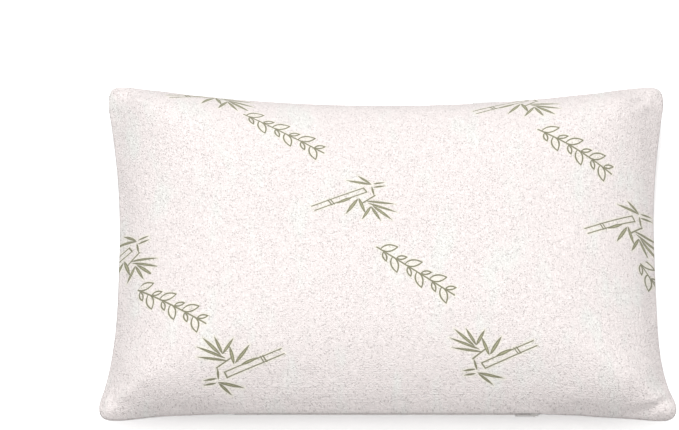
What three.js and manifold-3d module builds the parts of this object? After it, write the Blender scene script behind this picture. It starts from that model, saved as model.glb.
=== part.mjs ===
// A bed pillow lying on its back panel, in millimetres. X runs along its length, Y across it, Z up.
// The origin is on the surface it lies on, under the middle of its bounding box.
// A zip-off knit cover holds an inner bag of shredded foam. The zip is in the near long seam (-Y).

import * as THREE from "three";
import { mergeVertices } from "three/addons/utils/BufferGeometryUtils.js";
import Module from "manifold-3d";

const wasm = await Module();
wasm.setup();

// Overall size, from corner to corner and from the lowest to the highest point.
const PILLOW_LENGTH = 720;
const PILLOW_WIDTH = 456;
const PILLOW_HEIGHT = 142;

// Shape of the filled cover.
const SEAM_HEIGHT = 62;
const CORNER_RADIUS = 30;
const HOLLOW_NEAR = 12;
const HOLLOW_REAR = 24;
const HOLLOW_SIDES = 18;
const REST_SHARE = 0.66;
const ROUNDNESS = 2.2;
const EDGE_POWER = 0.6;
const CORNER_POWER = 0.95;

// Cloth of the two bags, and how far each seam lies inside the outer edge.
const COVER_CLOTH = 1.6;
const COVER_ALLOWANCE = 8;
const LINER_CLOTH = 0.8;
const LINER_SLACK = 16;
const LINER_ALLOWANCE = 6;
const OVERLOCK_RADIUS = 0.8;
const OVERLOCK_INSET = 4;
const STUFFING_OPENING = 150;

// Clearances: between cloth that touches, and between pieces that slide or turn.
const TOUCH_GAP = 0.3;
const LAYER_GAP = 0.4;
const RUNNING_GAP = 0.5;

// Zip: two tapes with a coil each, in a slot between the folded edges of the panels.
const ZIP_LENGTH = 380;
const ZIP_STRAIGHT_MARGIN = 15;
const SLOT_HEIGHT = 12;
const SLOT_DEPTH = 15;
const TAPE_SPLIT = 1.2;
const TAPE_THICKNESS = 0.7;
const COIL_WIDTH = 2;
const COIL_DEPTH = 2;
const STOP_LENGTH = 2;
const STOP_WIDTH = 2.2;

// Slider and its pull.
const SLIDER_LENGTH = 10;
const SLIDER_MOUTH_WIDTH = 9.4;
const SLIDER_TAIL_WIDTH = 8.6;
const SLIDER_PLATE = 1.3;
const SLIDER_FLANGE = 1;
const SLIDER_POST_LENGTH = 2.6;
const SLIDER_POST_THICKNESS = 0.6;
const CROWN_LENGTH = 5.2;
const CROWN_WIDTH = 1.4;
const CROWN_WALL = 1.2;
const PULL_LENGTH = 24;
const PULL_WIDTH = 5.4;
const PULL_THICKNESS = 0.9;
const PULL_EYE_LENGTH = 3.4;
const PULL_HOLE_RADIUS = 1.2;

// Care label, folded into the rear seam.
const LABEL_WIDTH = 34;
const LABEL_DROP = 44;
const LABEL_THICKNESS = 0.6;
const LABEL_TONGUE = 6;
const LABEL_FROM_MIDDLE = 130;

// Mesh fineness.
const LONG_EDGE_STEPS = 14;
const SHORT_EDGE_STEPS = 9;
const CORNER_STEPS = 4;
const UPPER_RINGS = [1, 0.98, 0.94, 0.87, 0.76, 0.6, 0.4, 0.2];
const LOWER_RINGS = [1, 0.98, 0.94, 0.87, 0.78, REST_SHARE];
const STITCH_STEPS = 6;

const HALF_LENGTH = PILLOW_LENGTH / 2;
const HALF_WIDTH = PILLOW_WIDTH / 2;
const STRAIGHT_HALF = ZIP_LENGTH / 2 + ZIP_STRAIGHT_MARGIN;
const UP = 1;
const DOWN = -1;

function cloth(color, roughness) {
  return new THREE.MeshStandardMaterial({ color, roughness, metalness: 0 });
}

const coverCloth = cloth(0xf6efed, 0.95);
const linerCloth = cloth(0xf4f4f2, 0.9);
const seamThread = cloth(0xf2ece8, 0.85);
const foam = cloth(0xe9d9a8, 1);
const tapeCloth = cloth(0xf1ece9, 0.9);
const labelCloth = cloth(0xfafaf8, 0.7);
const coilNylon = new THREE.MeshStandardMaterial({ color: 0xf4f1ee, roughness: 0.4, metalness: 0 });
const sliderMetal = new THREE.MeshStandardMaterial({ color: 0xe9e7e4, roughness: 0.35, metalness: 0.2 });
const stopMetal = new THREE.MeshStandardMaterial({ color: 0xd9d8d6, roughness: 0.35, metalness: 0.8 });

function piece(name, geometry, material) {
  const mesh = new THREE.Mesh(geometry, material.clone());
  mesh.name = name;
  return mesh;
}

// ---- Solids: joining and cutting -------------------------------------------------------------

function toSolid(geometry) {
  const bare = geometry.clone();
  bare.deleteAttribute("normal");
  bare.deleteAttribute("uv");
  const merged = mergeVertices(bare, 1e-4);
  return new wasm.Manifold(
    new wasm.Mesh({
      numProp: 3,
      vertProperties: new Float32Array(merged.attributes.position.array),
      triVerts: new Uint32Array(merged.index.array),
    }),
  );
}

function toGeometry(solid) {
  const mesh = solid.getMesh();
  const geometry = new THREE.BufferGeometry();
  geometry.setAttribute("position", new THREE.BufferAttribute(mesh.vertProperties, 3));
  geometry.setIndex(new THREE.BufferAttribute(mesh.triVerts, 1));
  geometry.computeVertexNormals();
  return geometry;
}

function block([x0, x1], [y0, y1], [z0, z1]) {
  const box = new THREE.BoxGeometry(x1 - x0, y1 - y0, z1 - z0);
  return box.translate((x0 + x1) / 2, (y0 + y1) / 2, (z0 + z1) / 2);
}

function joined(...geometries) {
  return geometries.map(toSolid).reduce((whole, next) => whole.add(next));
}

// ---- Pillow outline and layers ---------------------------------------------------------------

// How much of an edge's hollow there is at a distance from its middle: all of it along a straight
// stretch, then less and less, and none where the corner starts to turn.
function hollowShare(distance, straight, end) {
  const past = THREE.MathUtils.clamp((Math.abs(distance) - straight) / (end - straight), 0, 1);
  return 1 - past ** 2;
}

function hollowed(x, y) {
  const endX = HALF_LENGTH - CORNER_RADIUS;
  const endY = HALF_WIDTH - CORNER_RADIUS;
  const side = HOLLOW_SIDES * hollowShare(y, 0, endY);
  const near = HOLLOW_NEAR * hollowShare(x, STRAIGHT_HALF, endX);
  const rear = HOLLOW_REAR * hollowShare(x, 0, endX);
  const across = y > 0 ? rear : near;
  return new THREE.Vector2(x * (1 - side / HALF_LENGTH), y * (1 - across / HALF_WIDTH));
}

// The outline of one layer, anticlockwise from above: a rounded rectangle with hollowed edges.
function outline(inset) {
  const halfX = HALF_LENGTH - inset;
  const halfY = HALF_WIDTH - inset;
  const radius = Math.max(CORNER_RADIUS - inset / 2, CORNER_RADIUS / 4);
  const points = [];
  for (let quarter = 0; quarter < 4; quarter += 1) {
    const signX = quarter === 0 || quarter === 3 ? 1 : -1;
    const signY = quarter < 2 ? 1 : -1;
    const steps = quarter % 2 === 0 ? LONG_EDGE_STEPS : SHORT_EDGE_STEPS;
    const centre = new THREE.Vector2(signX * (halfX - radius), signY * (halfY - radius));
    const start = (quarter * Math.PI) / 2;
    for (let step = 0; step < CORNER_STEPS; step += 1) {
      const angle = start + (step / CORNER_STEPS) * (Math.PI / 2);
      points.push([centre.x + radius * Math.cos(angle), centre.y + radius * Math.sin(angle)]);
    }
    const alongX = quarter % 2 === 0;
    const reach = alongX ? signX * (halfX - radius) : signY * (halfY - radius);
    for (let step = 0; step < steps; step += 1) {
      const place = reach * (1 - (2 * step) / steps);
      points.push(alongX ? [place, signY * halfY] : [signX * halfX, place]);
    }
  }
  return points.map(([x, y]) => hollowed(x, y));
}

function cornerShare(point) {
  return Math.min(1, (Math.abs(point.x) / HALF_LENGTH) * (Math.abs(point.y) / HALF_WIDTH)) ** 2;
}

// Share of the full height reached at a share of the way out from the middle to the outline.
function crownShare(out, corner) {
  const power = THREE.MathUtils.lerp(EDGE_POWER, CORNER_POWER, corner);
  return (1 - out ** ROUNDNESS) ** power;
}

function bellyShare(out, corner) {
  const climb = (1 - out) / (1 - REST_SHARE);
  const power = THREE.MathUtils.lerp(EDGE_POWER, CORNER_POWER, corner);
  return climb >= 1 ? 1 : (1 - (1 - climb) ** ROUNDNESS) ** power;
}

// A layer is one nested surface of the pillow: its inset, its highest and its lowest level.
function layerRings(layer, side) {
  const rim = outline(layer.inset);
  const shares = side === UP ? UPPER_RINGS : LOWER_RINGS;
  const base = SEAM_HEIGHT + side * layer.seamGap;
  const reach = side === UP ? layer.top - base : base - layer.floor;
  const rise = side === UP ? crownShare : bellyShare;
  return shares.map((share) =>
    rim.map((p) => {
      const height = reach * rise(share, cornerShare(p));
      return new THREE.Vector3(p.x * share, p.y * share, base + side * height);
    }),
  );
}

const coverOuter = { inset: 0, top: PILLOW_HEIGHT, floor: 0, seamGap: TOUCH_GAP / 2 };
const coverInner = {
  inset: COVER_ALLOWANCE,
  top: coverOuter.top - COVER_CLOTH,
  floor: coverOuter.floor + COVER_CLOTH,
  seamGap: TOUCH_GAP / 2,
};
const linerOuter = {
  inset: LINER_SLACK,
  top: coverInner.top - LAYER_GAP,
  floor: coverInner.floor + LAYER_GAP,
  seamGap: TOUCH_GAP / 2,
};
const linerInner = {
  inset: LINER_SLACK + LINER_ALLOWANCE,
  top: linerOuter.top - LINER_CLOTH,
  floor: linerOuter.floor + LINER_CLOTH,
  seamGap: TOUCH_GAP / 2,
};
const fillSurface = {
  inset: linerInner.inset + OVERLOCK_INSET + OVERLOCK_RADIUS + RUNNING_GAP,
  top: linerInner.top - LAYER_GAP,
  floor: linerInner.floor + LAYER_GAP,
  seamGap: 0,
};

// Collects points and triangles into one closed surface.
class Skin {
  constructor() {
    this.points = [];
    this.triangles = [];
  }

  ring(points) {
    const first = this.points.length;
    this.points.push(...points);
    return points.map((_, index) => first + index);
  }

  strip(outer, inner, facing) {
    outer.forEach((a, index) => {
      const next = (index + 1) % outer.length;
      this.quad(a, outer[next], inner[next], inner[index], facing);
    });
  }

  quad(a, b, c, d, facing) {
    const triangles = facing === UP ? [a, b, c, a, c, d] : [a, c, b, a, d, c];
    this.triangles.push(...triangles);
  }

  fan(ring, centre, facing) {
    const [middle] = this.ring([centre]);
    ring.forEach((a, index) => {
      const b = ring[(index + 1) % ring.length];
      this.triangles.push(...(facing === UP ? [a, b, middle] : [b, a, middle]));
    });
  }

  // Lays rings inward from a rim that is already there, and closes them at the middle.
  dome(rim, rings, centre, facing) {
    let outer = rim;
    for (const points of rings) {
      const inner = this.ring(points);
      this.strip(outer, inner, facing);
      outer = inner;
    }
    this.fan(outer, centre, facing);
  }

  geometry() {
    const geometry = new THREE.BufferGeometry();
    geometry.setFromPoints(this.points);
    geometry.setIndex(this.triangles);
    geometry.computeVertexNormals();
    return geometry;
  }
}

function poleOf(layer, side) {
  return new THREE.Vector3(0, 0, side === UP ? layer.top : layer.floor);
}

// One bag panel: a bowl with a flat seam allowance round its rim.
function panelGeometry(outer, inner, side) {
  const skin = new Skin();
  const outerRings = layerRings(outer, side);
  const innerRings = layerRings(inner, side);
  const outerRim = skin.ring(outerRings[0]);
  const innerRim = skin.ring(innerRings[0]);
  skin.dome(outerRim, outerRings.slice(1), poleOf(outer, side), side);
  skin.dome(innerRim, innerRings.slice(1), poleOf(inner, side), -side);
  skin.strip(outerRim, innerRim, -side);
  return skin.geometry();
}

function fillGeometry(layer) {
  const skin = new Skin();
  const upper = layerRings(layer, UP);
  const lower = layerRings(layer, DOWN);
  const rim = skin.ring(upper[0]);
  skin.dome(rim, upper.slice(1), poleOf(layer, UP), UP);
  skin.dome(rim, lower.slice(1), poleOf(layer, DOWN), DOWN);
  return skin.geometry();
}

// ---- Cover, liner and fill -------------------------------------------------------------------

const NEAR_EDGE = HALF_WIDTH - HOLLOW_NEAR;
const labelSeamY = Math.max(
  ...[-1, 1].map((end) => hollowed(LABEL_FROM_MIDDLE + (end * LABEL_WIDTH) / 2, HALF_WIDTH).y),
);

function zipSlot() {
  const half = ZIP_LENGTH / 2 + TOUCH_GAP;
  const y = [-HALF_WIDTH, -NEAR_EDGE + SLOT_DEPTH];
  const z = [SEAM_HEIGHT - SLOT_HEIGHT / 2, SEAM_HEIGHT + SLOT_HEIGHT / 2];
  return block([-half, half], y, z);
}

function labelPocket() {
  const half = LABEL_WIDTH / 2 + TOUCH_GAP;
  const deep = LABEL_THICKNESS + 2 * TOUCH_GAP;
  const x = [LABEL_FROM_MIDDLE - half, LABEL_FROM_MIDDLE + half];
  const y = [labelSeamY - LABEL_TONGUE - TOUCH_GAP, HALF_WIDTH];
  return block(x, y, [SEAM_HEIGHT - deep, SEAM_HEIGHT]);
}

function coverFrontPanel() {
  const panel = toSolid(panelGeometry(coverOuter, coverInner, UP));
  return piece("cover_front_panel", toGeometry(panel.subtract(toSolid(zipSlot()))), coverCloth);
}

function coverBackPanel() {
  const panel = toSolid(panelGeometry(coverOuter, coverInner, DOWN));
  const cut = panel.subtract(toSolid(zipSlot())).subtract(toSolid(labelPocket()));
  return piece("cover_back_panel", toGeometry(cut), coverCloth);
}

function linerPanel(name, side) {
  return piece(name, panelGeometry(linerOuter, linerInner, side), linerCloth);
}

// The line at an inset from the outer edge, from one side of an opening round to the other.
// The opening is in the near edge (-1) or in the rear edge (1), centred on x = 0.
function openOutline(inset, opening, edge) {
  const rim = outline(inset);
  const inOpening = (p) => Math.sign(p.y) === edge && Math.abs(p.x) < opening / 2;
  const first = rim.findIndex((p, i) => !inOpening(p) && inOpening(rim.at(i - 1)));
  const kept = rim.map((_, i) => rim[(first + i) % rim.length]).filter((p) => !inOpening(p));
  const end = (x) => hollowed(x, edge * (HALF_WIDTH - inset));
  const startX = Math.sign(kept[0].x) * (opening / 2);
  return [end(startX), ...kept, end(-startX)];
}

function seamBand(name, outside, inside) {
  const band = new THREE.Shape([...outside, ...inside.reverse()]);
  const body = { depth: 2 * OVERLOCK_RADIUS, bevelEnabled: false };
  const geometry = new THREE.ExtrudeGeometry(band, body);
  return piece(name, geometry.translate(0, 0, SEAM_HEIGHT - OVERLOCK_RADIUS), seamThread);
}

// The overlock thread lies just inside a seam allowance.
function overlockCord(name, inset, opening, edge) {
  const outside = openOutline(inset - OVERLOCK_RADIUS, opening, edge);
  const inside = openOutline(inset + OVERLOCK_RADIUS, opening, edge);
  return seamBand(name, outside, inside);
}

// The straight stitch that shut the liner once it was stuffed, in the gap that the overlock leaves.
function linerClosingStitch() {
  const seamInset = linerInner.inset + OVERLOCK_INSET;
  const line = (inset) => {
    const half = STUFFING_OPENING / 2 - RUNNING_GAP;
    const places = Array.from({ length: STITCH_STEPS + 1 }, (_, i) => half - (2 * half * i) / STITCH_STEPS);
    return places.map((x) => hollowed(x, HALF_WIDTH - inset));
  };
  return seamBand("liner_closing_stitch", line(seamInset - OVERLOCK_RADIUS), line(seamInset + OVERLOCK_RADIUS));
}

function careLabel() {
  const low = LABEL_FROM_MIDDLE - LABEL_WIDTH / 2;
  const high = LABEL_FROM_MIDDLE + LABEL_WIDTH / 2;
  const top = SEAM_HEIGHT - TOUCH_GAP;
  const outside = labelSeamY + TOUCH_GAP;
  const back = outside + LABEL_THICKNESS;
  const tongue = block([low, high], [labelSeamY - LABEL_TONGUE, back], [top - LABEL_THICKNESS, top]);
  const drop = block([low, high], [outside, back], [top - LABEL_DROP, top]);
  return piece("care_label", toGeometry(joined(tongue, drop)), labelCloth);
}

// ---- Zip -------------------------------------------------------------------------------------
// Built flat: x along the zip, y up the slot, z outward from the seam. Depths below are z values.

const PLATE_IN = -SLIDER_PLATE;
const COIL_OUT = PLATE_IN - RUNNING_GAP;
const COIL_IN = COIL_OUT - COIL_DEPTH;
const TAPE_OUT = COIL_IN - TOUCH_GAP;
const TAPE_IN = TAPE_OUT - TAPE_THICKNESS;
const BACK_PLATE_OUT = TAPE_IN - RUNNING_GAP;
const BACK_PLATE_IN = BACK_PLATE_OUT - SLIDER_PLATE;
const CHAIN_END = ZIP_LENGTH / 2 - STOP_LENGTH - 2 * TOUCH_GAP;
const STOP_NEAR = CHAIN_END + TOUCH_GAP;
const SLIDER_REST = CHAIN_END - RUNNING_GAP - SLIDER_LENGTH / 2;

// A strip on the upper or lower side of the zip's middle line.
function zipStrip(side, [x0, x1], [near, far], depths) {
  const y = side === UP ? [near, far] : [-far, -near];
  return block([x0, x1], y, depths);
}

function zipTape(name, side) {
  const half = ZIP_LENGTH / 2;
  const width = [TAPE_SPLIT / 2, SLOT_HEIGHT / 2 - TOUCH_GAP];
  return piece(name, zipStrip(side, [-half, half], width, [TAPE_IN, TAPE_OUT]), tapeCloth);
}

function zipCoil(name, side) {
  const width = [TAPE_SPLIT / 2, TAPE_SPLIT / 2 + COIL_WIDTH];
  return piece(name, zipStrip(side, [-CHAIN_END, CHAIN_END], width, [COIL_IN, COIL_OUT]), coilNylon);
}

function zipEndStop() {
  const half = TAPE_SPLIT / 2 + STOP_WIDTH;
  const x = [-STOP_NEAR - STOP_LENGTH, -STOP_NEAR];
  return piece("zip_end_stop", block(x, [-half, half], [COIL_IN, PLATE_IN]), stopMetal);
}

function zipTopStop(name, side) {
  const width = [TAPE_SPLIT / 2, TAPE_SPLIT / 2 + STOP_WIDTH];
  const x = [STOP_NEAR, STOP_NEAR + STOP_LENGTH];
  return piece(name, zipStrip(side, x, width, [COIL_IN, PLATE_IN]), stopMetal);
}

// A slider plate in outline: wide at the mouth, where the chains enter, and narrower at the tail.
function sliderPlate(depth, thickness) {
  const half = SLIDER_LENGTH / 2;
  const mouth = SLIDER_MOUTH_WIDTH / 2;
  const tail = SLIDER_TAIL_WIDTH / 2;
  const bend = half / 3;
  const plate = new THREE.Shape();
  plate.moveTo(-half, -tail + 1);
  plate.quadraticCurveTo(-half, -tail, -half + 1, -tail);
  plate.lineTo(bend, -tail);
  plate.quadraticCurveTo(half - 1, -mouth, half, -mouth + 1);
  plate.lineTo(half - 1, 0);
  plate.lineTo(half, mouth - 1);
  plate.quadraticCurveTo(half - 1, mouth, bend, tail);
  plate.lineTo(-half + 1, tail);
  plate.quadraticCurveTo(-half, tail, -half, tail - 1);
  plate.closePath();
  const body = { depth: thickness, curveSegments: 3, bevelEnabled: false };
  return new THREE.ExtrudeGeometry(plate, body).translate(0, 0, depth);
}

const PIN_RADIUS = PULL_THICKNESS / 2;
const PIN_OUT = PIN_RADIUS + TOUCH_GAP;
const CROWN_HOLE_TOP = PIN_OUT + PIN_RADIUS + TOUCH_GAP;

// The crown is a low arch on the outer plate that the pull's pin turns under.
function sliderCrown() {
  const half = CROWN_LENGTH / 2;
  const hole = half - CROWN_WALL;
  const arch = new THREE.Shape();
  arch.moveTo(-half, -TOUCH_GAP);
  arch.lineTo(-hole, -TOUCH_GAP);
  arch.lineTo(-hole, CROWN_HOLE_TOP - 0.4);
  arch.quadraticCurveTo(-hole, CROWN_HOLE_TOP, 0, CROWN_HOLE_TOP);
  arch.quadraticCurveTo(hole, CROWN_HOLE_TOP, hole, CROWN_HOLE_TOP - 0.4);
  arch.lineTo(hole, -TOUCH_GAP);
  arch.lineTo(half, -TOUCH_GAP);
  arch.quadraticCurveTo(half, CROWN_HOLE_TOP + CROWN_WALL, 0, CROWN_HOLE_TOP + CROWN_WALL);
  arch.quadraticCurveTo(-half, CROWN_HOLE_TOP + CROWN_WALL, -half, -TOUCH_GAP);
  arch.closePath();
  const body = { depth: CROWN_WIDTH, curveSegments: 5, bevelEnabled: false };
  const crown = new THREE.ExtrudeGeometry(arch, body).translate(0, 0, -CROWN_WIDTH / 2);
  return crown.rotateX(Math.PI / 2);
}

function sliderBody() {
  const half = SLIDER_LENGTH / 2;
  const flangeNear = TAPE_SPLIT / 2 + COIL_WIDTH + RUNNING_GAP;
  const flange = (side) => {
    const width = [flangeNear, flangeNear + SLIDER_FLANGE];
    return zipStrip(side, [-half + 1, half - 1.6], width, [COIL_IN, PLATE_IN + TOUCH_GAP]);
  };
  const post = block(
    [half - 1.4 - SLIDER_POST_LENGTH, half - 1.4],
    [-SLIDER_POST_THICKNESS / 2, SLIDER_POST_THICKNESS / 2],
    [BACK_PLATE_OUT - TOUCH_GAP, PLATE_IN + TOUCH_GAP],
  );
  const whole = joined(
    sliderPlate(PLATE_IN, SLIDER_PLATE),
    sliderPlate(BACK_PLATE_IN, SLIDER_PLATE),
    flange(UP),
    flange(DOWN),
    post,
    sliderCrown(),
  );
  return piece("zip_slider", toGeometry(whole), sliderMetal);
}

// The pull hangs on its pin bar at x = 0 and lies along the closed chain, towards -x.
function pullTab() {
  const half = PULL_WIDTH / 2;
  const eyeHalf = CROWN_WIDTH / 2 + RUNNING_GAP;
  const tip = -PULL_LENGTH + half;
  const tab = new THREE.Shape();
  tab.moveTo(PIN_RADIUS, -half + 0.6);
  tab.lineTo(PIN_RADIUS, half - 0.6);
  tab.lineTo(PIN_RADIUS - 0.6, half);
  tab.absarc(tip, 0, half, Math.PI / 2, (3 * Math.PI) / 2);
  tab.lineTo(PIN_RADIUS - 0.6, -half);
  tab.closePath();
  const eye = new THREE.Path();
  eye.moveTo(-PIN_RADIUS, -eyeHalf);
  eye.lineTo(-PIN_RADIUS, eyeHalf);
  eye.lineTo(-PIN_RADIUS - PULL_EYE_LENGTH, eyeHalf);
  eye.lineTo(-PIN_RADIUS - PULL_EYE_LENGTH, -eyeHalf);
  eye.closePath();
  const turn = Math.PI / 10;
  const grip = new THREE.Path().absarc(tip, 0, PULL_HOLE_RADIUS, turn, turn + 2 * Math.PI);
  tab.holes.push(eye, grip);
  const body = { depth: PULL_THICKNESS, curveSegments: 6, bevelEnabled: false };
  const geometry = new THREE.ExtrudeGeometry(tab, body).translate(0, 0, -PIN_RADIUS);
  const mesh = piece("zip_pull", geometry, sliderMetal);
  mesh.position.z = PIN_OUT;
  return mesh;
}

function zip() {
  const slider = new THREE.Group();
  slider.add(sliderBody(), pullTab());
  slider.position.x = SLIDER_REST;
  const whole = new THREE.Group();
  whole.add(
    zipTape("zip_tape_upper", UP),
    zipTape("zip_tape_lower", DOWN),
    zipCoil("zip_coil_upper", UP),
    zipCoil("zip_coil_lower", DOWN),
    zipEndStop(),
    zipTopStop("zip_top_stop_upper", UP),
    zipTopStop("zip_top_stop_lower", DOWN),
    slider,
  );
  whole.position.set(0, -NEAR_EDGE, SEAM_HEIGHT);
  whole.rotation.x = Math.PI / 2;
  return whole;
}

const pillow = new THREE.Group();
pillow.add(
  coverFrontPanel(),
  coverBackPanel(),
  overlockCord("cover_overlock", COVER_ALLOWANCE + OVERLOCK_INSET, ZIP_LENGTH + SLOT_HEIGHT, -1),
  linerPanel("liner_front_panel", UP),
  linerPanel("liner_back_panel", DOWN),
  overlockCord("liner_overlock", linerInner.inset + OVERLOCK_INSET, STUFFING_OPENING, 1),
  linerClosingStitch(),
  piece("foam_fill", fillGeometry(fillSurface), foam),
  careLabel(),
  zip(),
);

export default pillow;
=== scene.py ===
"""A bed pillow: a zipped, printed knit cover over a plain inner bag full of shredded foam.

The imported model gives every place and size. The two cover panels are cut flat, sewn to the
pillow's outline and blown up by cloth simulation; the inner bag and the fill nest inside them.
Everything is in metres, with the pillow flat on its back panel and +Z up.
"""

from __future__ import annotations

import logging
import math
from dataclasses import asdict, dataclass, field
from enum import Enum
from typing import Callable, Iterable, Sequence

import bpy
import numpy as np
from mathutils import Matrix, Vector, noise

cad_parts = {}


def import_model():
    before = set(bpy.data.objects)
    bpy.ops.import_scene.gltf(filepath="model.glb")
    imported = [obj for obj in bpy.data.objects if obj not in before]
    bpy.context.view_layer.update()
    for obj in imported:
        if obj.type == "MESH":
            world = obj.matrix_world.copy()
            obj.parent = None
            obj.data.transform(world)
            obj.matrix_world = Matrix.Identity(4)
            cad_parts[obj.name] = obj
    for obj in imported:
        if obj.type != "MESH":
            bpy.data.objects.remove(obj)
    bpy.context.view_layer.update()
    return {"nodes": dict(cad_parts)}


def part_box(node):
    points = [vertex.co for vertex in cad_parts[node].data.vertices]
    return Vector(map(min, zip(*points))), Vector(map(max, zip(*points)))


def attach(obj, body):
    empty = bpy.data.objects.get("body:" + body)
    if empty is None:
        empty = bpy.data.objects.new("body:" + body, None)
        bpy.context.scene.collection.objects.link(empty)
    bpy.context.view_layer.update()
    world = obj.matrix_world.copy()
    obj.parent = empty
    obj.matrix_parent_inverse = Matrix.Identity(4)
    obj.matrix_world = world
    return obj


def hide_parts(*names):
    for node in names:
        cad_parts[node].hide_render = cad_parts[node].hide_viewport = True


LOG = logging.getLogger("pillow")
CUT_MAP = "FlatCut"
MM = 0.001
Colour = tuple[float, float, float]
Feed = object  # a node socket, a number, or a tuple of numbers


class Side(Enum):
    """Which face of the pillow a panel belongs to; the value is the way that it bulges."""

    FRONT = 1
    BACK = -1


class Hold(Enum):
    """How a sheet of cloth is kept in place, in the frame's own words."""

    STRETCHED = "stretched"
    HUNG = "hung"


# ---------------------------------------------------------------------------------------------
# Small tools
# ---------------------------------------------------------------------------------------------


def smooth_step(low: float, high: float, value: np.ndarray) -> np.ndarray:
    """A smooth rise from 0 at low to 1 at high.

    Args:
        low: Where the rise starts.
        high: Where it ends.
        value: What is tested.

    Returns:
        The share, from 0 to 1.
    """
    t = np.clip((value - low) / (high - low), 0, 1)
    return t * t * (3 - 2 * t)


def clear_selection() -> None:
    """Leaves object mode with nothing selected."""
    if bpy.context.object and bpy.context.object.mode != "OBJECT":
        bpy.ops.object.mode_set(mode="OBJECT")
    bpy.ops.object.select_all(action="DESELECT")


def pick(piece: bpy.types.Object) -> None:
    """Makes one object the only selected and active one.

    Args:
        piece: The object.
    """
    clear_selection()
    piece.select_set(True)
    bpy.context.view_layer.objects.active = piece


def apply_modifiers(piece: bpy.types.Object) -> None:
    """Applies every modifier of a piece, first to last.

    Args:
        piece: The piece.
    """
    pick(piece)
    for modifier in list(piece.modifiers):
        bpy.ops.object.modifier_apply(modifier=modifier.name)


def thicken(piece: bpy.types.Object, thickness: float, offset: float) -> None:
    """Gives a sheet its wall: inwards from its face at offset -1, both ways at 0.

    Args:
        piece: The sheet, one layer thick.
        thickness: The thickness of the wall.
        offset: Which way it grows.
    """
    wall = piece.modifiers.new("Wall", "SOLIDIFY")
    wall.thickness = thickness
    wall.offset = offset
    apply_modifiers(piece)


def subdivide(piece: bpy.types.Object, boundary: str = "ALL") -> None:
    """Smooths a piece with one level of subdivision.

    Args:
        piece: The piece.
        boundary: How open borders are smoothed, in the modifier's own word.
    """
    smooth = piece.modifiers.new("Smooth", "SUBSURF")
    smooth.levels = smooth.render_levels = 1
    smooth.boundary_smooth = boundary
    apply_modifiers(piece)


def shape_primitive(name: str, size: tuple[float, float, float]) -> bpy.types.Object:
    """Names the primitive just added and stretches it about the origin, in edit mode.

    Args:
        name: The piece's name.
        size: How much it is stretched along each axis.

    Returns:
        The piece.
    """
    piece = bpy.context.object
    piece.name = piece.data.name = name
    bpy.ops.object.mode_set(mode="EDIT")
    bpy.ops.mesh.select_all(action="SELECT")
    bpy.ops.transform.resize(value=size, center_override=(0, 0, 0))
    bpy.ops.object.mode_set(mode="OBJECT")
    return piece


def points_of(mesh: bpy.types.Mesh) -> np.ndarray:
    """The vertices of a mesh, one row each.

    Args:
        mesh: The mesh.

    Returns:
        The places, one row for each vertex.
    """
    flat = np.empty(len(mesh.vertices) * 3, np.float32)
    mesh.vertices.foreach_get("co", flat)
    return flat.reshape(-1, 3).astype(float)


def put_points(mesh: bpy.types.Mesh, points: np.ndarray) -> None:
    """Moves the vertices of a mesh to new places."""
    mesh.vertices.foreach_set("co", points.astype(np.float32).ravel())
    mesh.update()


def grid_faces(
    rows: int, columns: int, flipped: bool, turned: bool = False
) -> list[tuple[int, ...]]:
    """The quads of a grid of points laid out row by row.

    Args:
        rows: How many quads one way.
        columns: How many along each row.
        flipped: Whether they face the other way.
        turned: Whether each starts one corner on, so that it is split the other way.

    Returns:
        The vertex numbers of each quad.
    """
    wide = columns + 1
    made = []
    for j in range(rows):
        for i in range(columns):
            a = j * wide + i
            face = (a, a + 1, a + wide + 1, a + wide)
            if turned:
                face = face[1:] + face[:1]
            made.append(face[::-1] if flipped else face)
    return made


def mesh_piece(
    name: str, points: np.ndarray, faces: Sequence[Sequence[int]]
) -> bpy.types.Object:
    """A new piece from points and faces, shaded smooth.

    Args:
        name: The piece's name.
        points: One row for each vertex.
        faces: The vertex numbers of each face.

    Returns:
        The piece, in the scene.
    """
    mesh = bpy.data.meshes.new(name)
    mesh.from_pydata(points.tolist(), [], [list(face) for face in faces])
    mesh.update()
    piece = bpy.data.objects.new(name, mesh)
    bpy.context.scene.collection.objects.link(piece)
    mesh.polygons.foreach_set("use_smooth", np.ones(len(mesh.polygons), bool))
    return piece


def copy_along(
    piece: bpy.types.Object, places: Sequence[np.ndarray], axes: Sequence[np.ndarray]
) -> None:
    """Repeats a small mesh at many places, in one mesh.

    Args:
        piece: The piece whose mesh is modelled round the origin.
        places: Where each copy goes.
        axes: The three directions, one a row, that each copy's X, Y and Z turn to.
    """
    base = points_of(piece.data)
    faces = [tuple(p.vertices) for p in piece.data.polygons]
    slots = list(piece.data.materials)
    points = np.concatenate([base @ turn + place for place, turn in zip(places, axes)])
    count = len(base)
    repeated = [
        tuple(v + k * count for v in face) for k in range(len(places)) for face in faces
    ]
    mesh = bpy.data.meshes.new(piece.name)
    mesh.from_pydata(points.tolist(), [], repeated)
    mesh.update()
    mesh.polygons.foreach_set("use_smooth", np.ones(len(mesh.polygons), bool))
    for slot in slots:
        mesh.materials.append(slot)
    old = piece.data
    piece.data = mesh
    bpy.data.meshes.remove(old)


# ---------------------------------------------------------------------------------------------
# Shader benches and groups
# ---------------------------------------------------------------------------------------------


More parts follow.
